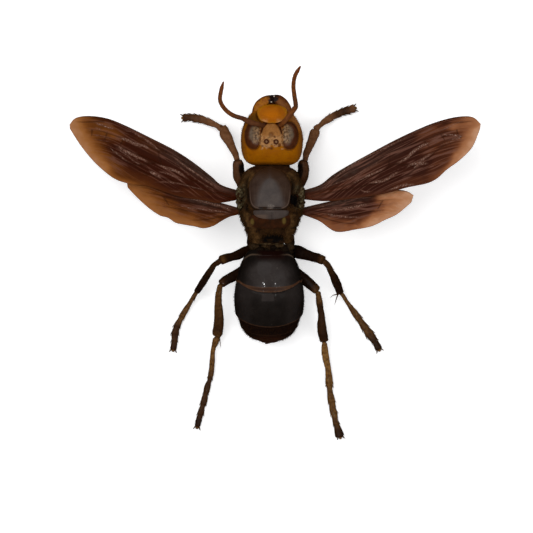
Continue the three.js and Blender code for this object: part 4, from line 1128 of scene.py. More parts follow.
def makeTegulae():
    for side, name in ((-1, "left"), (1, "right")):
        heap = newHeap()
        out, y, z = tegula["middle"]
        grid = ballGrid((thoraxX + side * out, y, z), tegula["reach"], 40, 60)
        rough = layeredNoise(grid, 0.45, 81)
        grid += gridNormals(grid) * (0.09 * rough)[..., None]
        plain = {"groove": 0.0, "dip": 0.0, "ochre": 0.0, "front": 0.0}
        addGrid(heap, grid, {**plain, "mossy": smoothStep(rough, -0.6, 0.5)})
        for k in range(tegula["lumps"]):
            spot = (thoraxX + side * (5.68 + 0.22 * math.sin(3 * k)), 11.6 - 0.75 * k,
                    12.55 + 0.2 * math.cos(2 * k))
            lump = ballGrid(spot, tegula["lump"], 20, 30, turn=k)
            lump += gridNormals(lump) * (0.08 * layeredNoise(lump, 0.3, 83 + k))[..., None]
            addGrid(heap, lump, {**plain, "mossy": smoothStep(layeredNoise(lump, 0.4, 88), -0.7, 0.4)})
        finishPiece(heap, "wing_joint_" + name, bpy.data.materials["thoraxShell"],
                    ["tegula_" + name])


makeThorax()
makeScutum()
makeHindPlates()
makeTegulae()
print("thorax made")


# Gaster: six rings that lap over one another from front to back

gasterForm = {
    "x": -1.2, "y": 1.3, "z": 10.1, "tilt": 20.0, "power": 2.15, "half": 6.3, "tuck": 0.05, "lip": 0.012,
    "sunk": 0.025, "swell": 0.018, "grit": 0.005, "bandRise": 0.025, "coreDepth": 0.02, "rimRise": 0.07,
    "frontDepth": 0.12, "rows": [
        [0.3, 2.3, 2.0, 2.0], [1.0, 3.75, 3.0, 2.9], [2.3, 4.64, 3.9, 3.4], [3.9, 5.33, 4.5, 3.75],
        [6.1, 5.88, 5.0, 4.15], [8.4, 6.26, 5.3, 4.5], [10.5, 6.39, 5.4, 4.7], [12.2, 6.22, 5.25, 4.6],
        [13.7, 5.8, 4.85, 4.3], [15.4, 5.2, 4.1, 3.9], [16.7, 4.3, 3.2, 3.1], [17.6, 3.1, 2.1, 2.1],
        [18.2, 1.6, 1.1, 1.1]],
    "bow": [[0.3, 0.0, 0.0], [3.0, 0.3, 0.0], [6.3, 0.68, 0.0], [10, 0.3, 0.5], [13.8, 0.0, 1.1],
            [15.8, 0.0, 0.7], [18.3, 0.0, 0.0]],
    "curve": [[0, 0.95], [0.2, 0.94], [0.36, 0.84], [0.5, 0.62], [0.62, 0.42], [0.74, 0.16], [0.85, -0.12],
              [0.93, -0.25], [1, 0.4]],
}
gasterRings = {    # start and end along the gaster, and the width of the pale margin on top and at the sides
    "gaster_1": {"span": (0.3, 6.3), "margin": 0.8, "thin": 0.34, "rings": 260, "band": 1.0, "tail": 0.0,
                 "hairs": 700},
    "gaster_2": {"span": (6.0, 13.85), "margin": 0.16, "thin": 0.12, "rings": 200, "band": 0.8, "tail": 0.0,
                 "hairs": 1000},
    "gaster_3": {"span": (13.5, 15.9), "margin": 0.1, "thin": 0.08, "rings": 80, "band": 0.2, "tail": 0.9,
                 "hairs": 900},
    "gaster_4": {"span": (15.6, 16.95), "margin": 0.1, "thin": 0.08, "rings": 50, "band": 0.15,
                 "tail": 0.95, "hairs": 700},
    "gaster_5": {"span": (16.6, 17.65), "margin": 0.1, "thin": 0.08, "rings": 50, "band": 0.1, "tail": 1.0,
                 "hairs": 450},
    "gaster_6": {"span": (17.3, 18.3), "margin": 0.1, "thin": 0.08, "rings": 50, "band": 0.1, "tail": 1.0,
                 "hairs": 300},
}
sting = {"line": [(-1.3, -15.0, 4.3), (-1.5, -15.7, 4.0), (-1.85, -16.5, 3.75)], "rings": 40, "wide": 1.9,
         "high": 0.6, "tip": 0.05}


def gasterGrid(along, scale, sides=240):
    # rings drawn out over the back and drawn in down the sides, all on the one rounded form
    angle = np.linspace(0, 2 * np.pi, sides, endpoint=False)[None, :]
    out = np.abs(np.cos(angle)) ** (2 / gasterForm["power"])
    far = np.asarray(gasterForm["bow"], float)
    top, side = (np.interp(along, far[:, 0], far[:, k])[:, None] for k in (1, 2))
    curve = np.where(np.sin(angle) > 0, np.interp(out, *np.array(gasterForm["curve"]).T), 0.5)
    place = along[:, None] + top * curve - side * out ** 2
    rows = spline(gasterForm["rows"], np.linspace(0, 1, 500))
    half, above, below = (np.interp(place, rows[:, 0], rows[:, k]) * scale[:, None] for k in (1, 2, 3))
    across = np.sign(np.cos(angle)) * out * half
    rise = np.abs(np.sin(angle)) ** (2 / gasterForm["power"]) * np.where(np.sin(angle) > 0, above, -below)
    tilt = math.radians(gasterForm["tilt"])
    y = gasterForm["y"] - math.cos(tilt) * place - math.sin(tilt) * rise
    z = gasterForm["z"] - math.sin(tilt) * place + math.cos(tilt) * rise
    return np.stack([gasterForm["x"] + across, y, z], axis=-1)


def gasterSheen(grid, order):
    # painted sheen: the lamps' grey reflection over the middle of the first ring, and a brighter square, the
    # sides and the front of the second
    x, y = grid[..., 0], grid[..., 1]
    if order == 0:
        return fadeOut(np.hypot((x + 1.1) / 4.6, (y + 4.4) / 3.8) + 0.08 * layeredNoise(grid, 1.5, 97),
                       0.55, 1.2)
    if order > 1:
        return 0.0 * x
    highlightSquare = smoothStep(1.35 - np.abs(x + 1.45), 0, 0.4) * smoothStep(0.85 - np.abs(y + 8.0), 0, 0.4)
    flank = smoothStep(np.abs(x + 1.2), 2.2, 4.4) * fadeOut(np.abs(x + 1.2), 4.8, 6.2)
    return np.maximum(0.9 * highlightSquare, 0.3 * flank + 0.25 * smoothStep(y, -9.5, -7.5))


def makeGaster():
    material, form = paintLook("gasterShell", gasterLook), gasterForm
    for order, (name, ring) in enumerate(gasterRings.items()):
        start, end = ring["span"]
        t = np.linspace(0, 1, ring["rings"])
        t = np.concatenate([t, [1.0, 1.0]])
        along = start + (end - start) * t
        tuck = form["tuck"] * fadeOut(t, 0, 0.12) if order else 0.0
        lip = form["lip"] * smoothStep(t, 0.85, 1.0)
        scale = 1.0 - tuck + lip - (form["sunk"] if order > 1 else 0.0) + np.zeros(len(t))
        scale[-2:] -= [0.012, 0.05]
        grid = gasterGrid(along, scale)
        out = np.abs(grid[..., 0] - form["x"]) / form["half"]
        margin = ring["thin"] + (ring["margin"] - ring["thin"]) * fadeOut(out, 0.15, 0.85)
        left = (end - along)[:, None] + 0.0 * out + 0.04 * layeredNoise(grid, 1.2, 91)
        band = fadeOut(left, margin * 0.8, margin * 1.1 + 0.04)
        core = fadeOut(np.abs(left - margin * 0.5), margin * 0.2, margin * 0.42) * fadeOut(out, 0.3, 0.8)
        collar = grid[..., 1] + 0.15 + 0.32 * np.maximum(0, np.abs(grid[..., 0] + 1.1) - 3.0) ** 2
        high = smoothStep(grid[..., 2], 9.5, 10.5)
        rim = fadeOut(np.abs(collar), 0.05, 0.22) * high * (0.0 if order else 1.0)
        # near-black in the hollow front face of the first ring: painted shade
        front = smoothStep(collar, -1.5, -0.2) * fadeOut(np.abs(grid[..., 0] + 0.85), 1.4, 3.4)
        front = front * high * (0.0 if order else 1.0)
        rise = form["swell"] * layeredNoise(grid, 2.6, 93) + form["grit"] * layeredNoise(grid, 0.6, 95)
        relief = form["bandRise"] * band - form["coreDepth"] * core + form["rimRise"] * rim
        rise += relief - form["frontDepth"] * front
        grid = grid + gridNormals(grid) * rise[..., None]
        heap = newHeap(grid, {"band": band * ring["band"], "core": core, "rim": rim, "front": front,
                              "tail": ring["tail"], "sheen": gasterSheen(grid, order),
                              "rusty": 0.7 * fadeOut(grid[..., 1], -16.0, -14.6)})
        finishPiece(heap, name + "_ring", material, [name])
        low = 1 - 0.9 * smoothStep(grid[..., 2] - 8.5, 0, 3) if order < 2 else 1.0
        listHair("gaster_coat", grid, low * (1 - 0.8 * smoothStep(band, 0, 1)), ring["hairs"])
    t = np.linspace(0, 1, sting["rings"])
    wide, high = sting["wide"] * (1 - t) ** 0.9 + sting["tip"], sting["high"] * (1 - t) ** 0.8 + sting["tip"]
    grid = limbGrid(smoothPath(sting["line"], sting["rings"]), wide, high, 40)
    plain = dict.fromkeys(("band", "core", "rim", "front", "sheen"), 0.0)
    finishPiece(newHeap(grid, {**plain, "tail": 1.0, "rusty": 0.9}), "sting_tip", material, ["sting"])


gasterLook = {
    "shader": {"roughness": 0.55, "specular": 0.035, "coat": 0.045, "coatRoughness": 0.08},
    "grain": (0.13, 0.25, 1.8), "rough": (0.5, 0.62), "relief": 0.012, "specks": (1.3, 0.07, None),
    "base": ((0.01, 0.007, 0.0055), (0.006, 0.004, 0.003), 2.2),
    "layers": [
        # sheen: grey painted reflection on the first two rings
        ("sheen", 0.8, ((0.04, 0.032, 0.029), (0.03, 0.023, 0.021), 1.8)),
        ("tail", 1, ((0.006, 0.002, 0.001), (0.011, 0.003, 0.001), 1.4)),
        ("band", 1, ((0.086, 0.04, 0.02), (0.056, 0.022, 0.01), 0.8)),
        ("core", 0.8, (0.026, 0.012, 0.007)),
        # front: painted shade
        ("rim", 0.8, (0.085, 0.055, 0.035)), ("front", 1, (0.009, 0.002, 0.001)),
        ("rusty", 1, (0.052, 0.011, 0.003)), ("specks", 0.3, (0.14, 0.12, 0.1)),
    ],
}


makeGaster()
print("gaster made")


# Legs: rows of X, Y, Z and half width down each part, and how tan and how dark it is along its length

legs = {
    "front_left": {
        "hips": [(-3.2, 12.9, 6.6), (-5.2, 12.2, 4.4)], "inner": 1,
        "thigh": [(-5.79, 12.29, 4.5, 1.01), (-6.21, 13.23, 4.88, 1.13), (-6.59, 14.19, 5.25, 1.21),
            (-6.8, 15.2, 5.63, 1.05), (-6.84, 16.26, 6.01, 1.01), (-7.0, 17.01, 6.3, 0.76)],
        "shin": [(-6.99, 17.42, 6.1, 0.78), (-7.39, 18.28, 5.62, 0.59), (-7.87, 19.17, 5.11, 0.67),
            (-8.3, 20.08, 4.6, 0.79), (-8.75, 20.99, 4.09, 0.95), (-9.26, 21.87, 3.58, 1.01),
            (-9.47, 22.67, 3.17, 0.8), (-9.8, 23.11, 2.9, 0.73)],
        "foot": [(-9.95, 22.93, 2.77, 0.69), (-10.66, 23.36, 2.32, 0.46), (-11.49, 23.77, 1.81, 0.56),
            (-12.5, 24.21, 1.24, 0.6), (-13.09, 24.47, 1.05, 0.67), (-13.8, 24.65, 0.82, 0.68),
            (-14.67, 24.79, 0.59, 0.74), (-15.34, 24.94, 0.56, 0.62), (-15.97, 24.98, 0.53, 0.65),
            (-16.5, 24.92, 0.51, 0.7)],
        "thighLook": [(0, 0.2, 0.0), (1, 0.3, 0.0)],
        "shinLook": [(0, 0.5, 0.0), (0.5, 0.6, 0.0), (1, 0.5, 0.0)],
        "footLook": [(0, 0.6, 0), (0.4, 0.6, 0), (0.6, 0.35, 0.1), (0.85, 0.15, 0.3), (1, 0.1, 0.3)],
    },
    "front_right": {
        "hips": [(1.3, 12.9, 6.6), (3.4, 12.2, 4.4)], "inner": -1,
        "thigh": [(3.93, 12.28, 4.5, 0.94), (4.42, 13.19, 4.88, 1.09), (4.81, 14.13, 5.25, 1.13),
            (5.05, 15.13, 5.63, 1.04), (5.04, 16.23, 6.01, 0.99), (5.33, 16.93, 6.3, 0.66)],
        "shin": [(5.19, 17.37, 6.1, 0.71), (5.54, 18.14, 5.62, 0.62), (5.89, 18.97, 5.11, 0.66),
            (6.23, 19.81, 4.6, 0.75), (6.58, 20.64, 4.09, 0.81), (6.89, 21.49, 3.58, 0.87),
            (7.14, 22.17, 3.17, 0.91), (7.18, 22.67, 2.9, 0.71)],
        "foot": [(7.38, 22.9, 2.77, 0.61), (8.06, 23.45, 2.32, 0.45), (8.83, 24.09, 1.81, 0.54),
            (9.73, 24.68, 1.24, 0.59), (10.35, 25.11, 1.05, 0.63), (11.12, 25.47, 0.82, 0.59),
            (12.03, 25.89, 0.59, 0.65), (12.78, 26.17, 0.56, 0.7), (13.5, 26.34, 0.53, 0.69),
            (14.09, 26.53, 0.51, 0.73)],
        "thighLook": [(0, 0.1, 0.1), (1, 0.2, 0.1)],
        "shinLook": [(0, 0.35, 0.0), (0.5, 0.45, 0.0), (1, 0.5, 0.0)],
        "footLook": [(0, 0.5, 0), (0.45, 0.55, 0), (0.6, 0.15, 0.5), (0.8, 0.05, 0.7), (0.9, 0.3, 0.2),
            (1, 0.5, 0.0)],
    },
    "middle_left": {
        "hips": [(-3.3, 6.9, 6.3), (-4.55, 1.2, 4.4)], "inner": 0,
        "thigh": [(-4.69, 0.77, 4.59, 0.83), (-5.81, 0.36, 5.35, 0.88), (-6.88, -0.19, 6.11, 0.87),
            (-8.01, -0.58, 6.87, 0.76), (-9.17, -0.87, 7.63, 0.86), (-10.0, -1.22, 8.2, 0.86)],
        "shin": [(-10.27, -1.49, 7.83, 0.83), (-11.23, -2.07, 6.98, 0.48), (-11.84, -3.01, 6.06, 0.57),
            (-12.47, -3.92, 5.15, 0.62), (-13.08, -4.86, 4.23, 0.65), (-13.67, -5.81, 3.32, 0.63),
            (-14.18, -6.54, 2.59, 0.59), (-14.51, -7.04, 2.1, 0.55)],
        "foot": [(-14.69, -7.38, 2.0, 0.43), (-15.43, -8.54, 1.63, 0.38), (-16.24, -9.88, 1.22, 0.46),
            (-17.16, -11.49, 0.78, 0.49), (-17.65, -12.42, 0.71, 0.53), (-18.15, -13.5, 0.63, 0.6),
            (-18.47, -14.88, 0.55, 0.65), (-18.52, -15.73, 0.53, 0.55), (-18.61, -16.52, 0.52, 0.58),
            (-18.71, -17.17, 0.5, 0.55)],
        "thighLook": [(0, 0, 0.85), (0.85, 0, 0.75), (1, 0.3, 0.1)],
        "shinLook": [(0, 0.1, 0.4), (0.3, 0.05, 0.5), (0.5, 0.0, 0.8), (0.9, 0.0, 0.9), (1, 0.1, 0.4)],
        "footLook": [(0, 0.3, 0.1), (0.3, 0.4, 0), (0.5, 0.45, 0), (0.62, 0.1, 0.3), (0.85, 0.1, 0.25),
            (1, 0.0, 0.4)],
    },
    "middle_right": {
        "hips": [(1.4, 6.9, 6.3), (2.75, 1.2, 4.4)], "inner": 0,
        "thigh": [(2.93, 0.78, 4.59, 0.95), (4.12, 0.29, 5.35, 1.2), (5.35, -0.12, 6.11, 1.01),
            (6.58, -0.51, 6.87, 0.89), (7.82, -0.87, 7.63, 0.87), (8.7, -1.27, 8.2, 0.86)],
        "shin": [(8.83, -1.57, 7.83, 0.87), (9.59, -2.24, 6.98, 0.55), (10.02, -3.16, 6.06, 0.56),
            (10.52, -4.05, 5.15, 0.68), (10.93, -4.98, 4.23, 0.77), (11.34, -5.91, 3.32, 0.74),
            (11.61, -6.69, 2.59, 0.73), (11.82, -7.19, 2.1, 0.65)],
        "foot": [(12.2, -7.5, 2.0, 0.4), (13.11, -8.93, 1.63, 0.37), (14.23, -10.5, 1.22, 0.51),
            (15.51, -12.29, 0.78, 0.6), (16.06, -13.11, 0.71, 0.63), (16.71, -14.02, 0.63, 0.73),
            (17.49, -15.11, 0.55, 0.78), (18.03, -15.82, 0.53, 0.59), (18.45, -16.54, 0.52, 0.59),
            (18.75, -17.17, 0.5, 0.59)],
        "thighLook": [(0, 0, 0.95), (0.85, 0, 0.9), (1, 0.2, 0.2)],
        "shinLook": [(0, 0.15, 0.1), (0.3, 0.1, 0.3), (0.5, 0.0, 0.75), (0.9, 0.0, 0.75), (1, 0.2, 0.3)],
        "footLook": [(0, 0.45, 0), (0.35, 0.45, 0), (0.5, 0.35, 0.1), (0.7, 0.3, 0.1), (0.85, 0.1, 0.4),
            (1, 0.0, 0.6)],
    },
    "hind_left": {
        "hips": [(-2.1, 4.4, 6.9), (-2.5, -0.9, 3.2)], "inner": 0,
        "thigh": [(-2.87, -1.15, 3.35, 0.95), (-4.39, -2.09, 3.95, 0.95), (-5.91, -3.02, 4.55, 0.96),
            (-7.43, -3.97, 5.15, 0.95), (-9.01, -4.82, 5.75, 0.88), (-10.12, -5.57, 6.2, 0.76)],
        "shin": [(-10.2, -6.17, 5.97, 0.71), (-10.43, -7.49, 5.42, 0.59), (-10.5, -8.91, 4.83, 0.66),
            (-10.43, -10.35, 4.25, 0.78), (-10.39, -11.78, 3.67, 0.88), (-10.46, -13.21, 3.08, 0.93),
            (-10.63, -14.34, 2.61, 0.96), (-10.81, -15.1, 2.3, 0.75)],
        "foot": [(-10.88, -15.64, 2.18, 0.64), (-11.45, -17.53, 1.76, 0.44), (-11.62, -19.77, 1.28, 0.47),
            (-11.9, -22.27, 0.78, 0.46), (-12.16, -23.24, 0.73, 0.43), (-12.48, -24.33, 0.66, 0.56),
            (-12.8, -25.65, 0.59, 0.45), (-12.98, -26.43, 0.56, 0.59), (-13.2, -27.31, 0.53, 0.53),
            (-13.55, -28.44, 0.5, 0.52), (-13.79, -29.5, 0.5, 0.56), (-14.09, -30.48, 0.5, 0.56),
            (-14.28, -31.31, 0.5, 0.47)],
        "thighLook": [(0, 0, 0.9), (0.85, 0, 0.85), (1, 0.1, 0.2)],
        "shinLook": [(0, 0.45, 0.0), (0.35, 0.3, 0.05), (0.55, 0.22, 0.2), (0.85, 0.1, 0.35), (1, 0.35, 0.1)],
        "footLook": [(0, 0.45, 0), (0.2, 0.55, 0), (0.38, 0.45, 0), (0.47, 0.1, 0.2), (0.7, 0.1, 0.15),
            (0.87, 0.1, 0.2), (0.92, 0.0, 0.6), (1, 0.0, 0.6)],
    },
    "hind_right": {
        "hips": [(0.2, 4.4, 6.9), (0.6, -0.9, 3.2)], "inner": 0,
        "thigh": [(0.97, -1.18, 3.33, 0.99), (2.4, -2.35, 3.88, 0.99), (3.82, -3.52, 4.42, 0.98),
            (5.27, -4.68, 4.96, 1.0), (6.66, -5.9, 5.5, 0.92), (7.67, -6.84, 5.9, 0.81)],
        "shin": [(7.59, -7.34, 5.68, 0.8), (7.93, -8.62, 5.18, 0.61), (8.14, -10.02, 4.64, 0.58),
            (8.35, -11.42, 4.1, 0.64), (8.37, -12.84, 3.56, 0.79), (8.51, -14.24, 3.02, 0.87),
            (8.74, -15.35, 2.59, 0.83), (8.88, -16.1, 2.3, 0.74)],
        "foot": [(8.9, -16.69, 2.18, 0.58), (9.11, -18.74, 1.76, 0.67), (9.58, -21.06, 1.28, 0.52),
            (9.79, -23.75, 0.78, 0.64), (9.87, -24.95, 0.73, 0.53), (10.09, -26.29, 0.66, 0.61),
            (10.38, -27.83, 0.59, 0.61), (10.46, -28.59, 0.56, 0.58), (10.74, -29.43, 0.53, 0.63),
            (10.92, -30.53, 0.5, 0.51), (11.19, -31.5, 0.5, 0.6), (11.44, -32.42, 0.5, 0.73),
            (11.68, -33.17, 0.5, 0.76)],
        "thighLook": [(0, 0, 0.85), (0.85, 0, 0.85), (1, 0.25, 0.0)],
        "shinLook": [(0, 0.35, 0.0), (0.18, 0.3, 0.0), (0.3, 0.05, 0.5), (0.6, 0.1, 0.35),
            (0.9, 0.0, 0.55), (1, 0.1, 0.3)],
        "footLook": [(0, 0.8, 0), (0.22, 0.9, 0), (0.42, 0.6, 0), (0.5, 0.45, 0.05), (0.75, 0.5, 0.05),
            (0.85, 0.3, 0.1), (0.92, 0.1, 0.4), (1, 0.0, 0.6)],
    },
}
footJoints = [0.0, 0.46, 0.63, 0.75, 0.86, 1.0]
legForm = {    # hairs on each part, rings of a foot, and how far back and down a claw may reach
    "hairs": {"thigh": 140, "shin": 260, "foot": 420}, "rings": 230, "spine": 0.11, "spur": 0.13, "claw": 0.2,
    "clawLimit": (-99, -34.1, 0.1), "pad": (0.3, 0.3, 0.2), "lumps": 0.035, "grit": 0.012, "floor": 0.01,
}
spurs = {
    "front_left": [[(-9.9, 22.9, 2.6), (-10.3, 23.6, 2.2), (-10.9, 24.1, 1.9)]],
    "front_right": [[(7.4, 22.5, 2.6), (7.9, 23.1, 2.2), (8.5, 23.5, 1.9)]],
    "middle_left": [[(-14.4, -7.0, 2.0), (-14.7, -8.0, 1.7), (-15.0, -9.0, 1.5)],
                    [(-14.7, -6.9, 2.0), (-15.3, -7.7, 1.7), (-15.8, -8.5, 1.5)]],
    "middle_right": [[(11.5, -7.3, 2.0), (10.9, -7.5, 1.8), (10.5, -7.6, 1.7), (9.9, -8.1, 1.6)],
                     [(11.4, -7.4, 2.0), (11.1, -8.2, 1.7), (10.75, -9.4, 1.5)]],
    "hind_left": [[(-10.3, -15.0, 2.2), (-10.2, -16.0, 1.9), (-10.05, -17.3, 1.5)],
                  [(-10.5, -15.0, 2.1), (-10.45, -15.9, 1.8), (-10.5, -16.7, 1.6)]],
    "hind_right": [[(8.6, -16.0, 2.2), (8.6, -17.0, 1.9), (8.75, -18.0, 1.6)],
                   [(9.1, -16.0, 2.1), (9.2, -16.9, 1.8), (9.25, -17.7, 1.6)]],
}


def addSpine(heap, points, radius, masks, count=9, sides=7):
    t = np.linspace(0, 1, count)
    size = radius * (1 - t) ** 0.8 + 0.012
    addGrid(heap, limbGrid(smoothPath(points, count), size, size, sides), masks)


def lookAlong(look, t):
    look = np.asarray(look, float)
    return [np.interp(t, look[:, 0], look[:, k])[:, None] for k in (1, 2)]


def limbPart(heap, rows, look, flat, ends, count, sides, power=2.2, seed=0, inner=0, pinch=None, hairs=0):
    t = np.linspace(0, 1, count)
    path = smoothPath(rows, count)
    half = path[:, 3] * roundEnds(t, *ends)
    if pinch is not None:
        half = half * pinch
    thick = np.minimum(half * flat, path[:, 2] - 0.04)
    grid = limbGrid(path[:, :3], half, thick, sides, power=power)
    rough = legForm["lumps"] * layeredNoise(grid, 0.7, seed)
    rough = rough + legForm["grit"] * layeredNoise(grid, 0.2, seed + 1)
    grid = grid + gridNormals(grid) * rough[..., None]
    grid[..., 2] = np.maximum(grid[..., 2], legForm["floor"])
    angle = np.linspace(0, 2 * np.pi, sides, endpoint=False)[None, :]
    tan, dark = lookAlong(look, t)
    warm = float(seed % 10 < 2)    # the two front legs are ruddy and paler
    dark = dark * (1 - 0.65 * warm)
    # darker and less tan along both sides of each part: painted shade
    edge = smoothStep(np.abs(np.cos(angle)), 0.86, 1.0)
    # the inner side of the front thighs is their shaded side: painted shade
    if inner:
        shade = smoothStep(inner * np.cos(angle), -0.05, 0.12)
        shade = shade * smoothStep(np.sin(angle), -0.6, 0.2) * fadeOut(t, 0.86, 0.97)[:, None]
        dark = np.maximum(dark, shade)
    # dark holds each part's own dark colour and the painted shade
    addGrid(heap, grid, {"tan": tan * (1 - 0.6 * edge), "dark": np.clip(dark + 0.25 * edge, 0, 1),
                         "warm": warm})
    if hairs:
        free = smoothStep(t, 0.04, 0.1)[:, None] * (grid[..., 2] > 0.15)
        listHair("leg_coat", grid, free, hairs, 0.4 * warm)
    return path


def makeLegs():
    material = paintLeg()
    for order, (name, leg) in enumerate(legs.items()):
        heap = newHeap()
        (x0, y0, z0), (x1, y1, z1) = leg["hips"]
        halfway = [0.5 * (a + b) for a, b in zip(*leg["hips"])]
        rows = [(x0, y0, z0, 1.1), (*halfway, 1.1), (x1, y1, z1, 0.85)]
        limbPart(heap, rows, [(0, 0, 0.7), (1, 0, 0.9)], 1.0, (0.1, 0.12), 40, 40, seed=order)
        first = leg["thigh"][0]
        addGrid(heap, ballGrid(((x1 + first[0]) / 2, (y1 + first[1]) / 2, z1), (0.85, 0.85, 0.8), 24, 32),
                {"tan": 0.0, "dark": 0.9, "warm": 0.0})
        finishPiece(heap, "hip_" + name, material, ["coxa_" + name])
        heap = newHeap()
        start = [(x1, y1, z1, 0.7)]
        limbPart(heap, start + leg["thigh"], leg["thighLook"], 0.95, (0.05, 0.035), 110, 56, 2.5,
                 10 + order, leg["inner"], hairs=legForm["hairs"]["thigh"])
        finishPiece(heap, "thigh_" + name, material, ["femur_" + name])
        heap = newHeap()
        knee = leg["thigh"][-1]
        root = [(knee[0], knee[1], knee[2] + 0.1, 0.5),
                (*np.mean([knee[:3], leg["shin"][1][:3]], axis=0), 0.52)]
        limbPart(heap, root + leg["shin"][1:], leg["shinLook"], 0.78, (0.04, 0.025), 120, 48, 2.3, 20 + order,
                 hairs=legForm["hairs"]["shin"])
        for line in spurs[name]:
            addSpine(heap, line, legForm["spur"], {"tan": 0.25, "dark": 0.1, "warm": 0.0})
        finishPiece(heap, "shin_" + name, material, ["tibia_" + name])
        makeFoot(name, leg, material, order)


def makeFoot(name, leg, material, order):
    heap, rings = newHeap(), legForm["rings"]
    ankle = leg["shin"][-1]
    last, near = np.array(leg["foot"][-1]), np.array(leg["foot"][-2])
    ahead = unit((last - near)[:2]) * 0.45
    rows = [(ankle[0], ankle[1], ankle[2], 0.4)] + leg["foot"]
    rows = rows + [(last[0] + ahead[0], last[1] + ahead[1], last[2], 0.95 * last[3])]
    t = np.linspace(0, 1, rings)
    place = np.searchsorted(footJoints, t, side="right") - 1
    place = np.minimum(place, len(footJoints) - 2)
    starts, ends = np.array(footJoints)[place], np.array(footJoints)[place + 1]
    phase = (t - starts) / (ends - starts)
    bell = 0.92 + 0.24 * phase ** 1.3 - 0.2 * smoothStep(phase, 0.95, 1.0) - 0.12 * fadeOut(phase, 0, 0.06)
    path = limbPart(heap, rows, leg["footLook"], 0.72, (0.01, 0.02), rings, 40, 2.3, 30 + order, pinch=bell,
                    hairs=legForm["hairs"]["foot"])
    ahead = unit(np.gradient(path[:, :3], axis=0))
    across = unit(np.cross(ahead, [0.0, 0.0, 1.0]))
    tan, dark = lookAlong(leg["footLook"], t)
    for joint in footJoints[1:5]:
        k = min(int(joint * (rings - 1)), rings - 2)
        for turn in (-1.0, -0.75, -0.4, 0.4, 0.75, 1.0):
            out = across[k] * turn * path[k, 3]
            lift = np.array([0, 0, 0.35 * path[k, 3] * (1 - abs(turn))])
            root = path[k, :3] + 0.85 * out + lift - ahead[k] * 0.12
            long = 0.55 + 0.14 * math.sin(7 * k + 5 * turn)
            reach = root + ahead[k] * long + out * 0.42 + [0, 0, -0.05]
            reach[2] = max(reach[2], 0.05)
            addSpine(heap, [root, (root + reach) / 2 + out * 0.1, reach], legForm["spine"],
                     {"tan": float(tan[k, 0]), "dark": float(dark[k, 0]), "warm": 0.0}, 6, 5)
    end, ahead, across = path[-1], ahead[-1], across[-1]
    for turn in (-1, 1):
        base = end[:3] - 0.45 * ahead + across * turn * 0.3 * end[3]
        points = [base, base + 0.6 * ahead + 0.34 * across * turn + [0, 0, 0.05],
                  base + 1.0 * ahead + 0.62 * across * turn + [0, 0, -0.35]]
        points = [np.maximum(p, legForm["clawLimit"]) for p in points]
        addSpine(heap, points, legForm["claw"], {"tan": 0.25, "dark": 0.25, "warm": 0.0}, 12, 8)
    pad = end[:3] + 0.08 * ahead
    addGrid(heap, ballGrid(pad, legForm["pad"]), {"tan": 0.6, "dark": 0.0, "warm": 0.0})
    finishPiece(heap, "foot_" + name, material, ["tarsus_" + name])


legLook = {
    "shader": {"roughness": 0.46, "specular": 0.03, "coat": 0.03, "coatRoughness": 0.08},
    "grain": (0.11, 0.4, 0.7), "rough": (0.38, 0.52), "relief": 0.018,
    "base": ((0.044, 0.014, 0.004), (0.024, 0.007, 0.002), 0.8),
    "tan": ((0.25, 0.12, 0.03), (0.105, 0.044, 0.009), 0.5, 0.5, 0.09),
    "ruddy": ((0.29, 0.13, 0.058), (0.2, 0.082, 0.032), 0.7),
    "layers": [("tan", 1, "pale"), ("dark", 1, ((0.01, 0.004, 0.0015), (0.005, 0.002, 0.001), 0.9))],
}


def paintLeg():
    look = legLook
    material, tree, target, _ = startLook("legShell", look)
    pale = layOver(tree, pickTone(tree, look["tan"]), [("warm", 1, look["ruddy"])])
    tree.links.new(layOver(tree, pickTone(tree, look["base"]), look["layers"], {"pale": pale}), target)
    return material


makeLegs()
print("legs made")


# Wings: leading and trailing edges paired by their share of the span, veins and creases

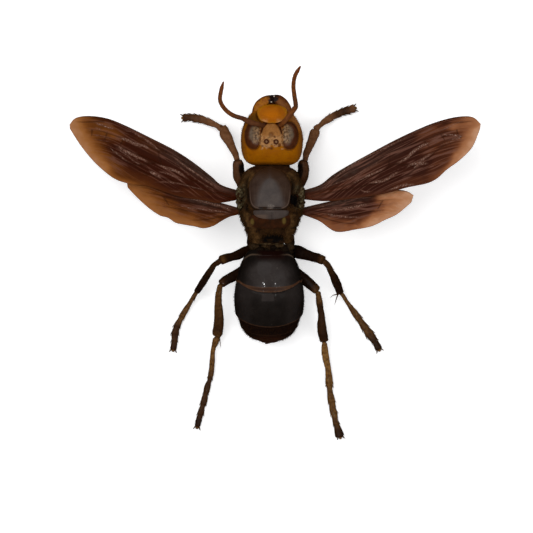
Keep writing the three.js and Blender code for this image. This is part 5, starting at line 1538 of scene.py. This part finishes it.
wings = {    # fade: how far the pale margin reaches; patches: the tone they bring, middle, reach and turn
    "forewing_left": {
        "level": 12.1, "rosy": 0.1, "top": 0.98, "tip": [(-37.3, 23.4), (-36.7, 24.3)],
        "fade": [(0, 0.1), (0.3, 0.15), (0.42, 0.3), (0.5, 0.55), (0.65, 0.65), (0.8, 0.75), (0.88, 0.9),
                 (0.95, 1.25), (1, 1.3)],
        "patches": [(0.64, (-30.9, 22.4), (5.4, 2.2), -24), (0.4, (-23.2, 20.0), (4.2, 1.6), -32),
                    (0.4, (-25.5, 14.0), (5.0, 1.4), -10), (0.0, (-27.2, 17.0), (4.2, 1.4), -36),
                    (0.3, (-14.5, 11.2), (5.5, 0.9), -6)],
        "lead": [(-5.7, 11.2), (-9.7, 12.4), (-11.8, 14.1), (-15.0, 16.6), (-18.4, 18.8), (-22.7, 21.0),
                 (-27.2, 23.2), (-30.5, 24.5), (-33.8, 24.95), (-36.2, 24.6), (-37.35, 23.4)],
        "trail": [(-5.7, 10.0), (-10.3, 9.2), (-13.2, 9.7), (-17.3, 10.3), (-22.9, 12.1), (-25.9, 12.5),
                  (-28.7, 13.3), (-30.7, 14.6), (-33.0, 16.7), (-35.3, 19.5), (-37.3, 22.6)]},
    "forewing_right": {
        "level": 12.1, "rosy": 1.0, "top": 0.98, "tip": [(37.1, 23.3), (36.5, 24.3)],
        "fade": [(0, 0.1), (0.35, 0.14), (0.5, 0.3), (0.62, 0.45), (0.75, 0.65), (0.88, 0.75), (1, 0.85)],
        "patches": [(0.72, (33.4, 23.4), (5.4, 1.7), 14), (0.5, (28.0, 21.9), (4.2, 1.6), 22),
                    (0.46, (29.5, 19.4), (5.0, 2.2), 20),
                    (0.32, (9.5, 11.4), (6.0, 1.0), 18), (0.36, (24.6, 13.0), (4.5, 1.0), 12),
                    (0.32, (17.0, 15.2), (6.0, 0.7), 28), (0.42, (29.6, 16.3), (3.2, 1.6), 42)],
        "lead": [(3.8, 11.2), (7.8, 12.4), (10.2, 14.2), (12.6, 15.7), (17.1, 18.2), (21.6, 20.6),
                 (26.1, 22.7), (29.5, 24.0), (32.9, 24.8), (35.6, 24.75), (37.1, 23.5)],
        "trail": [(3.8, 10.0), (8.9, 9.5), (13.9, 10.0), (19.3, 10.8), (23.9, 12.0), (27.3, 12.7),
                  (29.2, 13.6), (31.0, 15.2), (33.4, 17.0), (35.6, 19.3), (37.0, 22.6)]},
    "hindwing_left": {
        "level": 10.5, "rosy": 0.15, "top": 0.84, "tip": [(-26.9, 12.5), (-25.8, 13.0)],
        "fade": [(0, 0.4), (0.15, 0.5), (0.3, 0.6), (0.5, 0.8), (0.75, 1.1), (1, 1.4)],
        "patches": [(0.38, (-9.0, 6.6), (2.4, 0.9), 30), (0.1, (-11.5, 8.6), (7.0, 1.1), -14)],
        "lead": [(-5.7, 8.0), (-8.7, 8.9), (-12.9, 10.0), (-17.4, 11.1), (-21.1, 12.1), (-23.8, 12.9),
                 (-25.8, 13.1), (-27.0, 12.8)],
        "trail": [(-5.7, 7.3), (-8.2, 6.75), (-9.8, 5.95), (-11.3, 5.05), (-13.1, 4.6), (-14.8, 4.95),
                  (-16.6, 5.25),
                  (-18.2, 5.6), (-19.6, 6.5), (-21.1, 6.95), (-23.1, 8.3), (-25.2, 10.2), (-26.9, 12.0)]},
    "hindwing_right": {
        "level": 10.5, "rosy": 1.0, "top": 0.97,
        "tip": [(25.0, 10.2), (24.3, 11.2), (22.0, 11.6), (20.0, 11.4)],
        "fade": [(0, 0.35), (0.2, 0.45), (0.4, 0.5), (0.55, 0.75), (0.75, 1.1), (1, 1.25)],
        "patches": [(0.66, (11.3, 5.3), (4.6, 1.7), -4), (0.0, (9.5, 8.3), (5.5, 0.7), 12)],
        "lead": [(3.8, 8.1), (8.8, 9.3), (12.6, 10.1), (16.2, 10.9), (19.9, 11.4), (22.2, 11.6),
                 (23.9, 11.3), (25.0, 10.6)],
        "trail": [(3.8, 7.4), (7.7, 6.0), (10.9, 4.0), (14.6, 4.4), (17.5, 5.0), (19.8, 6.1),
                  (22.1, 7.2), (24.6, 9.3)]},
}
paleMargin = {"away": [0, 1.4, 2.8, 4.2, 5.6, 7.6], "tone": [1.0, 0.92, 0.74, 0.53, 0.28, 0.03]}
wingVeins = {    # span share and chord share along each vein
    "forewing": [
        [(0.04, 0.04), (0.35, 0.035), (0.72, 0.05)], [(0.05, 0.2), (0.4, 0.13), (0.66, 0.13), (0.74, 0.08)],
        [(0.72, 0.07), (0.84, 0.15), (0.93, 0.08)], [(0.42, 0.13), (0.55, 0.22), (0.74, 0.27), (0.88, 0.33)],
        [(0.06, 0.45), (0.28, 0.47), (0.44, 0.42), (0.64, 0.43), (0.86, 0.5)], [(0.41, 0.43), (0.46, 0.15)],
        [(0.44, 0.43), (0.54, 0.62), (0.68, 0.52), (0.8, 0.6)],
        [(0.06, 0.65), (0.28, 0.64), (0.44, 0.74), (0.56, 0.9)], [(0.44, 0.74), (0.54, 0.62)],
        [(0.6, 0.24), (0.62, 0.43)], [(0.7, 0.26), (0.72, 0.45)], [(0.79, 0.3), (0.8, 0.47)]],
    "hindwing": [
        [(0.07, 0.06), (0.4, 0.06), (0.75, 0.08)], [(0.08, 0.25), (0.35, 0.26), (0.62, 0.28), (0.9, 0.42)],
        [(0.08, 0.45), (0.32, 0.5), (0.55, 0.55), (0.78, 0.72)], [(0.08, 0.65), (0.3, 0.72), (0.48, 0.86)],
        [(0.58, 0.28), (0.56, 0.55)]],
}
wingCreases = {    # strength and X, Y line of each glossy fold, painted with a pale highlight along it
    "forewing_left": [
        (1.0, [(-28.7, 21.1), (-26.9, 20.6), (-25.2, 19.8), (-23.8, 19.5), (-22.3, 18.5)]),
        (1.0, [(-29.2, 19.9), (-27.4, 18.7), (-26.0, 18.0), (-24.9, 17.4), (-23.4, 16.8), (-22.3, 16.4)]),
        (0.6, [(-29.3, 19.6), (-28.2, 18.7), (-26.9, 17.8), (-25.2, 16.5), (-23.4, 16.0)]),
        (0.7, [(-30.2, 19.6), (-29.6, 18.7), (-28.9, 18.3), (-27.8, 17.4), (-26.9, 16.8), (-26.0, 16.5)]),
        (1.0, [(-23.2, 15.2), (-22.3, 14.6), (-21.4, 14.1), (-20.5, 13.4)]),
        (1.0, [(-22.1, 16.3), (-20.3, 15.7), (-18.5, 15.1), (-17.0, 14.3), (-15.2, 13.0)]),
        (0.7, [(-21.8, 15.1), (-20.1, 14.6), (-18.1, 13.9), (-16.8, 13.0), (-16.1, 12.4)]),
        (0.6, [(-22.5, 12.9), (-20.3, 13.0), (-18.1, 12.8), (-16.1, 12.3), (-14.1, 11.8), (-11.5, 11.0)]),
        (0.8, [(-9.9, 11.6), (-11.9, 12.8), (-14.1, 14.3), (-16.1, 15.6), (-18.1, 17.2), (-19.9, 18.7)]),
        (0.5, [(-10.2, 11.1), (-12.8, 12.5), (-15.5, 14.2), (-17.7, 16.0), (-19.4, 17.4)]),
        (0.7, [(-20.3, 17.9), (-21.6, 19.1), (-23.0, 20.3), (-25.2, 21.6), (-27.4, 22.7)]),
        (0.8, [(-33.2, 23.8), (-31.8, 23.4), (-30.4, 22.9), (-28.7, 22.5)]),
        (0.6, [(-33.0, 22.9), (-32.2, 22.7), (-31.4, 22.6)]),
        (0.5, [(-28.2, 22.6), (-26.6, 22.2), (-25.0, 21.6), (-23.6, 20.6), (-21.4, 18.4)]),
        (0.5, [(-33.8, 21.6), (-32.0, 21.4), (-30.5, 21.1), (-28.9, 21.1)]),
        (0.4, [(-33.8, 20.9), (-32.4, 20.6), (-30.7, 20.4), (-29.3, 20.5)]),
        (0.5, [(-19.6, 11.4), (-18.1, 11.3), (-16.3, 11.2)]),
    ],
    "hindwing_left": [
        (0.9, [(-7.3, 7.5), (-10.6, 8.8), (-15.0, 9.9), (-17.2, 10.3)]),
        (0.7, [(-7.5, 7.3), (-12.8, 8.0), (-16.1, 8.4), (-19.0, 9.2)]),
        (0.4, [(-7.7, 7.2), (-11.0, 7.0), (-13.2, 6.6), (-15.9, 6.1)]),
    ],
    "forewing_right": [
        (0.8, [(13.5, 12.4), (16.2, 13.9), (18.9, 15.1), (20.7, 16.2)]),
        (1.0, [(16.4, 12.8), (18.9, 13.1), (20.2, 13.5), (21.6, 14.5), (23.0, 15.1)]),
        (1.0, [(21.2, 16.2), (23.4, 17.1), (25.2, 18.7), (26.6, 19.6), (28.2, 20.2), (29.2, 20.7)]),
        (1.0, [(23.4, 15.1), (24.1, 15.9), (25.7, 16.5), (27.5, 17.7), (29.1, 18.7)]),
        (0.9, [(24.8, 15.3), (26.1, 16.2), (27.9, 16.4)]),
        (0.8, [(29.5, 20.5), (30.2, 21.4), (31.6, 21.5), (33.6, 21.2), (31.8, 20.7), (30.2, 20.5)]),
        (0.6, [(29.3, 19.4), (31.1, 20.1), (32.5, 20.5), (34.1, 21.6)]),
        (0.9, [(19.8, 11.2), (21.6, 11.9), (23.2, 12.4), (25.9, 12.6)]),
        (0.7, [(15.0, 11.7), (16.2, 11.2), (17.5, 11.4)]),
        (0.7, [(7.6, 11.7), (10.3, 13.5), (14.8, 16.7), (19.3, 18.9), (23.9, 21.2), (27.7, 22.8)]),
        (0.5, [(27.9, 22.8), (29.8, 22.4), (32.9, 23.7), (35.6, 24.5)]),
        (0.5, [(6.0, 10.8), (9.2, 12.1), (13.0, 13.5), (16.2, 15.1), (19.3, 17.1), (22.3, 19.1)]),
    ],
    "hindwing_right": [
        (0.6, [(6.4, 8.1), (9.8, 9.0), (13.0, 9.9), (19.3, 10.3)]),
        (0.9, [(8.9, 7.8), (12.5, 8.1), (15.3, 8.7), (18.0, 9.4)]),
        (0.7, [(7.8, 7.4), (11.0, 6.9), (13.7, 6.6), (16.9, 6.8)]),
        (0.3, [(13.7, 6.2), (15.3, 4.9)]),
    ],
}
wingForm = {    # grid sizes, the rise to the tip, the film's half thickness and the relief on it
    "forewing": (330, 130), "hindwing": (220, 96), "under": 20, "span": 33, "tipRise": 1.4, "sag": 0.35,
    "film": 0.05, "root": 0.5, "rim": 0.12, "vein": 0.07, "crease": 0.15, "fold": 0.1, "wrinkle": 0.02,
}


def wingSpots(wing, u, v):
    lead, trail = spline(wing["lead"], u), spline(wing["trail"], u)
    return lead[..., 0] * (1 - v) + trail[..., 0] * v, lead[..., 1] * (1 - v) + trail[..., 1] * v


def wingTone(wing, x, y, u, seed):
    # 0 is the darkest film, 1 the palest: pale along the outer margin, with a few soft patches
    spot = np.stack([x, y, 0 * x], axis=-1)
    margin = smoothPath(np.array(wing["trail"][1:] + wing["tip"]), 60)
    away, _ = distanceToLine(x, y, margin)
    reach = np.interp(u, *np.array(wing["fade"]).T) * (1 + 0.16 * layeredNoise(spot, 3.0, 140 + seed))
    tone = wing["top"] * np.interp(away / reach, paleMargin["away"], paleMargin["tone"])
    tone = tone * np.clip(1.4 * np.interp(u, *np.array(wing["fade"]).T), 0.25, 1)
    for target, (px, py), (wide, high), turn in wing["patches"]:
        turn = math.radians(turn)
        ahead = (x - px) * math.cos(turn) + (y - py) * math.sin(turn)
        side = (y - py) * math.cos(turn) - (x - px) * math.sin(turn)
        share = fadeOut(np.hypot(ahead / wide, side / high), 0.3, 1.15)
        tone = tone + share * (target - tone) * (1 if target > 0.3 else 0.8)
    return np.clip(tone + 0.04 * layeredNoise(spot * [1.0, 1.6, 1.0], 1.6, 150 + seed), 0, 1)


def makeWings():
    material, form = paintWing(), wingForm
    for order, (name, wing) in enumerate(wings.items()):
        kind = name.split("_")[0]
        rings, over = form[kind]
        under = form["under"]
        u = np.linspace(0.0, 1.0, rings)[:, None]
        v = np.concatenate([np.linspace(0, 1, over), np.linspace(1, 0, under + 2)[1:-1]])[None, :]
        upper = (np.arange(over + under) < over)[None, :]
        u, v = np.broadcast_arrays(u, v)
        x, y = wingSpots(wing, u, v)
        climb = form["tipRise"] * (np.abs(x - thoraxX) / form["span"]) ** 2
        sheet = wing["level"] + climb - form["sag"] * v ** 2
        lead, trail = spline(wing["lead"], u), spline(wing["trail"], u)
        chord = np.hypot(*(lead - trail).transpose(2, 0, 1))
        vein = np.zeros(x.shape)
        for line in wingVeins[kind]:
            line = smoothPath(np.array([wingSpots(wing, a, b) for a, b in np.array(line)]), 24)
            away, along = distanceToLine(x, y, line)
            width = 0.14 * (1.25 - 0.75 * along)
            vein = np.maximum(vein, fadeOut(away, 0.35 * width, 1.5 * width) * fadeOut(along, 0.7, 1))
        vein = np.maximum(vein, 0.9 * fadeOut(v * chord, 0.12, 0.3) * fadeOut(u, 0.75, 0.95))
        # creases: raised ridges, painted with a pale highlight
        crease = np.zeros(x.shape)
        ragged = layeredNoise(np.stack([x, y, 0 * x], axis=-1), 0.55, 110 + order)
        for strength, line in wingCreases[name]:
            path = smoothPath(np.array(line), 30)
            away, along = distanceToLine(x + 0.05 * ragged, y + 0.05 * ragged, path)
            ends = smoothStep(along, 0, 0.2) * fadeOut(along, 0.7, 1)
            width = 0.14 + 0.3 * strength ** 2 * np.sin(np.pi * along) + 0.06 * ragged
            crease = np.maximum(crease, strength * fadeOut(away, 0.15 * width, width) * ends)
        stretched = np.stack([u * 3.0, v * chord * 1.5, 0 * x + order], axis=-1)
        folds = 1 - np.abs(layeredNoise(stretched, 0.75, 120 + order, 3)) * 2.6
        field = smoothStep(u, 0.03, 0.15) * fadeOut(v, 0.75, 1.0) * fadeOut(u, 0.72, 0.95)
        wrinkle = layeredNoise(np.stack([x, y, 0 * x], axis=-1), 0.35, 130 + order)
        tone = wingTone(wing, x, y, u, order)
        field = field * (1 - 0.75 * smoothStep(tone, 0.5, 0.85)) * (0.75 + 0.45 * wing["rosy"])
        # the film darkens between the fold ridges: painted shade
        tone = np.clip(tone - 0.16 * field * fadeOut(folds, -0.3, 0.35), 0, 1)
        rise = form["vein"] * vein + form["crease"] * crease + form["fold"] * field * np.clip(folds, 0, 1)
        rise = rise + form["wrinkle"] * wrinkle * (0.3 + crease)
        thick = form["film"] + form["root"] * fadeOut(u, 0.0, 0.1) * np.sin(np.pi * np.clip(v, 0.05, 0.95))
        rim = np.minimum(np.minimum(v, 1 - v) * chord, (1 - u) * form["span"])
        thick = thick * np.sqrt(np.clip(rim / form["rim"], 0.04, 1))
        z = sheet + np.where(upper, thick + rise * smoothStep(rim, 0.0, 0.2), -thick)
        root = fadeOut(u, 0.25, 0.62)
        heap = newHeap(np.stack([x, y, z], axis=-1), {
            "tone": tone, "rosy": wing["rosy"], "vein": vein, "crease": crease,
            # the tops of the fold ridges: painted highlight
            "fold": smoothStep(folds, 0.3, 0.95) * field,
            "edge": fadeOut(rim, 0.0, 0.3), "smoky": root * fadeOut(v, 0.12, 0.42)})
        finishPiece(heap, name + "_blade", material, [name])


wingTones = {    # film colours from the darkest to the palest, for amber and for rosy wings
    "amber": [(0.0, (0.03, 0.0045, 0.0006)), (0.3, (0.057, 0.012, 0.0015)), (0.5, (0.105, 0.029, 0.003)),
              (0.7, (0.185, 0.058, 0.009)), (0.87, (0.285, 0.105, 0.025)), (1.0, (0.37, 0.165, 0.07))],
    "rosy": [(0.0, (0.032, 0.007, 0.003)), (0.3, (0.062, 0.016, 0.006)), (0.5, (0.122, 0.036, 0.013)),
             (0.7, (0.245, 0.086, 0.033)), (0.87, (0.39, 0.165, 0.072)), (1.0, (0.54, 0.29, 0.165))],
}


def toneRamp(tree, value, stops):
    ramp = addNode(tree, "ValToRGB", {"Fac": value})
    marks = ramp.color_ramp.elements
    while len(marks) < len(stops):
        marks.new(0.5)
    for mark, (place, colour) in zip(marks, stops):
        mark.position = place
        mark.color = (*colour, 1.0)
    return ramp.outputs["Color"]


wingLook = {
    "shader": {"roughness": 0.4, "specular": 0.012}, "grain": (0.12, 0.1, 1.5), "relief": 0.02,
    "layers": [
        ("smoky", 0.75, ((0.05, 0.032, 0.024), (0.03, 0.014, 0.009), 0.8)),
        # fold and crease tones and the sparks: painted highlights
        ("fold", 0.75, (0.13, 0.054, 0.036)),
        ("vein", 0.55, (0.022, 0.006, 0.002)), ("edge", 0.4, (0.08, 0.025, 0.007)),
        ("crease", 0.75, ((0.165, 0.076, 0.05), (0.08, 0.032, 0.019), 0.45, 0.5, 0.07)),
        ("spark", 0.75, (0.37, 0.24, 0.185)),
    ],
    "spark": {"First": (0.0, 0.0, 0.0), "Second": (1.0, 1.0, 1.0), "Size": 0.2, "Balance": 0.57,
              "Blur": 0.03},
}


def paintWing():
    look = wingLook
    material, tree, target, _ = startLook("wingFilm", look)
    tone = readMask(tree, "tone")
    amber, rosy = toneRamp(tree, tone, wingTones["amber"]), toneRamp(tree, tone, wingTones["rosy"])
    # sparks along the creases: painted highlights
    spark = placeGroup(tree, blotches, **look["spark"])["Mask"]
    spark = doMath(tree, "MULTIPLY", spark, spread(tree, readMask(tree, "crease"), 0.3, 0.9))
    colour = mixColours(tree, readMask(tree, "rosy"), amber, rosy)
    tree.links.new(layOver(tree, colour, look["layers"], {"spark": spark}), target)
    return material


makeWings()
print("wings made")


# Coats: each hair is a thin closed spike of three sides, bent once

coatLook = {
    "slots": {"head_coat": "head_shell", "thorax_coat": "thorax", "gaster_coat": "gaster", "leg_coat": "leg"},
    "radius": 0.02, "patch": 0.0015, "seed": 400, "low": (-37.2, -34.1, 0.01), "high": (37.0, 34.0, 14.95),
    "shader": {"roughness": 0.7, "specular": 0.04},
    "dark": (0.014, 0.005, 0.001), "light": ((0.22, 0.105, 0.026), (0.13, 0.055, 0.013), 0.5),
}


def growHairs(field, chance):
    # seven points for each hair: two rings of three and a tip
    grid, count = field["grid"], field["count"]
    sides = grid.shape[1]
    around = np.roll(grid, -1, axis=1)
    area = np.linalg.norm(np.cross(np.diff(grid, axis=0), (around - grid)[:-1]), axis=-1)
    weight = (area * field["keep"][:-1]).ravel()
    picks = chance.choice(weight.size, count, p=weight / weight.sum())
    row, column = picks // sides, picks % sides
    a, b = chance.random((2, count, 1))
    root = (grid[row, column] * (1 - b) + around[row, column] * b) * (1 - a)
    root = root + (grid[row + 1, column] * (1 - b) + around[row + 1, column] * b) * a
    normal = gridNormals(grid)[row, column]
    ahead = unit(np.gradient(grid.mean(axis=1), axis=0))[row]
    aim = unit(normal + field["lean"] * ahead + 0.3 * chance.standard_normal((count, 3)))
    tip = unit(aim + 0.5 * ahead - 0.25 * normal)
    side = unit(np.cross(aim, ahead + [0.013, 0.007, 0.011]))
    other = np.cross(aim, side)
    size = field["length"] * (0.6 + 0.7 * chance.random((count, 1)))
    angle = np.radians([0, 120, 240])
    spoke = side[:, None] * np.cos(angle)[None, :, None] + other[:, None] * np.sin(angle)[None, :, None]
    radius = coatLook["radius"] * (0.7 + 0.6 * chance.random((count, 1, 1)))
    base = (root - 0.06 * normal)[:, None] + radius * spoke
    middle = root + 0.55 * size * aim
    upper = middle[:, None] + 0.62 * radius * spoke
    points = np.concatenate([base, upper, (middle + 0.45 * size * tip)[:, None]], axis=1)
    points = np.clip(points, coatLook["low"], coatLook["high"])
    place = np.column_stack([(column + b[:, 0]) / sides, (row + a[:, 0]) / (len(grid) - 1)])
    return points, place


def growCoats():
    material = paintCoat()
    spread7 = np.array([[1, 0], [-0.5, 0.87], [-0.5, -0.87], [0.5, 0], [-0.25, 0.43], [-0.25, -0.43], [0, 0]])
    for order, (coat, slot) in enumerate(coatLook["slots"].items()):
        chance = np.random.default_rng(coatLook["seed"] + order)
        fields = [field for field in coatFields if field["coat"] == coat]
        columns = math.ceil(math.sqrt(len(fields)))
        heap, patches, start = newHeap(), [], 0
        for k, field in enumerate(fields):
            points, place = growHairs(field, chance)
            corner = np.array([k % columns, k // columns]) / columns
            place = corner + (0.01 + 0.98 * place) / columns
            patches.append((place[:, None] + coatLook["patch"] * spread7).reshape(-1, 2))
            first = start + 7 * np.arange(len(points))[:, None]
            for shape in ([0, 2, 1], [0, 1, 4, 3], [1, 2, 5, 4], [2, 0, 3, 5], [3, 4, 6], [4, 5, 6],
                          [5, 3, 6]):
                heap["faces"].append(first + np.array(shape))
            heap["points"].append(points.reshape(-1, 3))
            heap["masks"].setdefault("tone", []).append((start, np.full(7 * len(points), field["tone"])))
            start += 7 * len(points)
        heap["count"] = start
        finishPiece(heap, coat, material, patches=np.clip(np.concatenate(patches), 0, 1))


def paintCoat():
    material, tree, shader = startMaterial("coatHair", **coatLook["shader"])
    colour = mixColours(tree, readMask(tree, "tone"), coatLook["dark"], pickTone(tree, coatLook["light"]))
    tree.links.new(colour, shader.inputs["Base Color"])
    return material


growCoats()
print("coats grown")
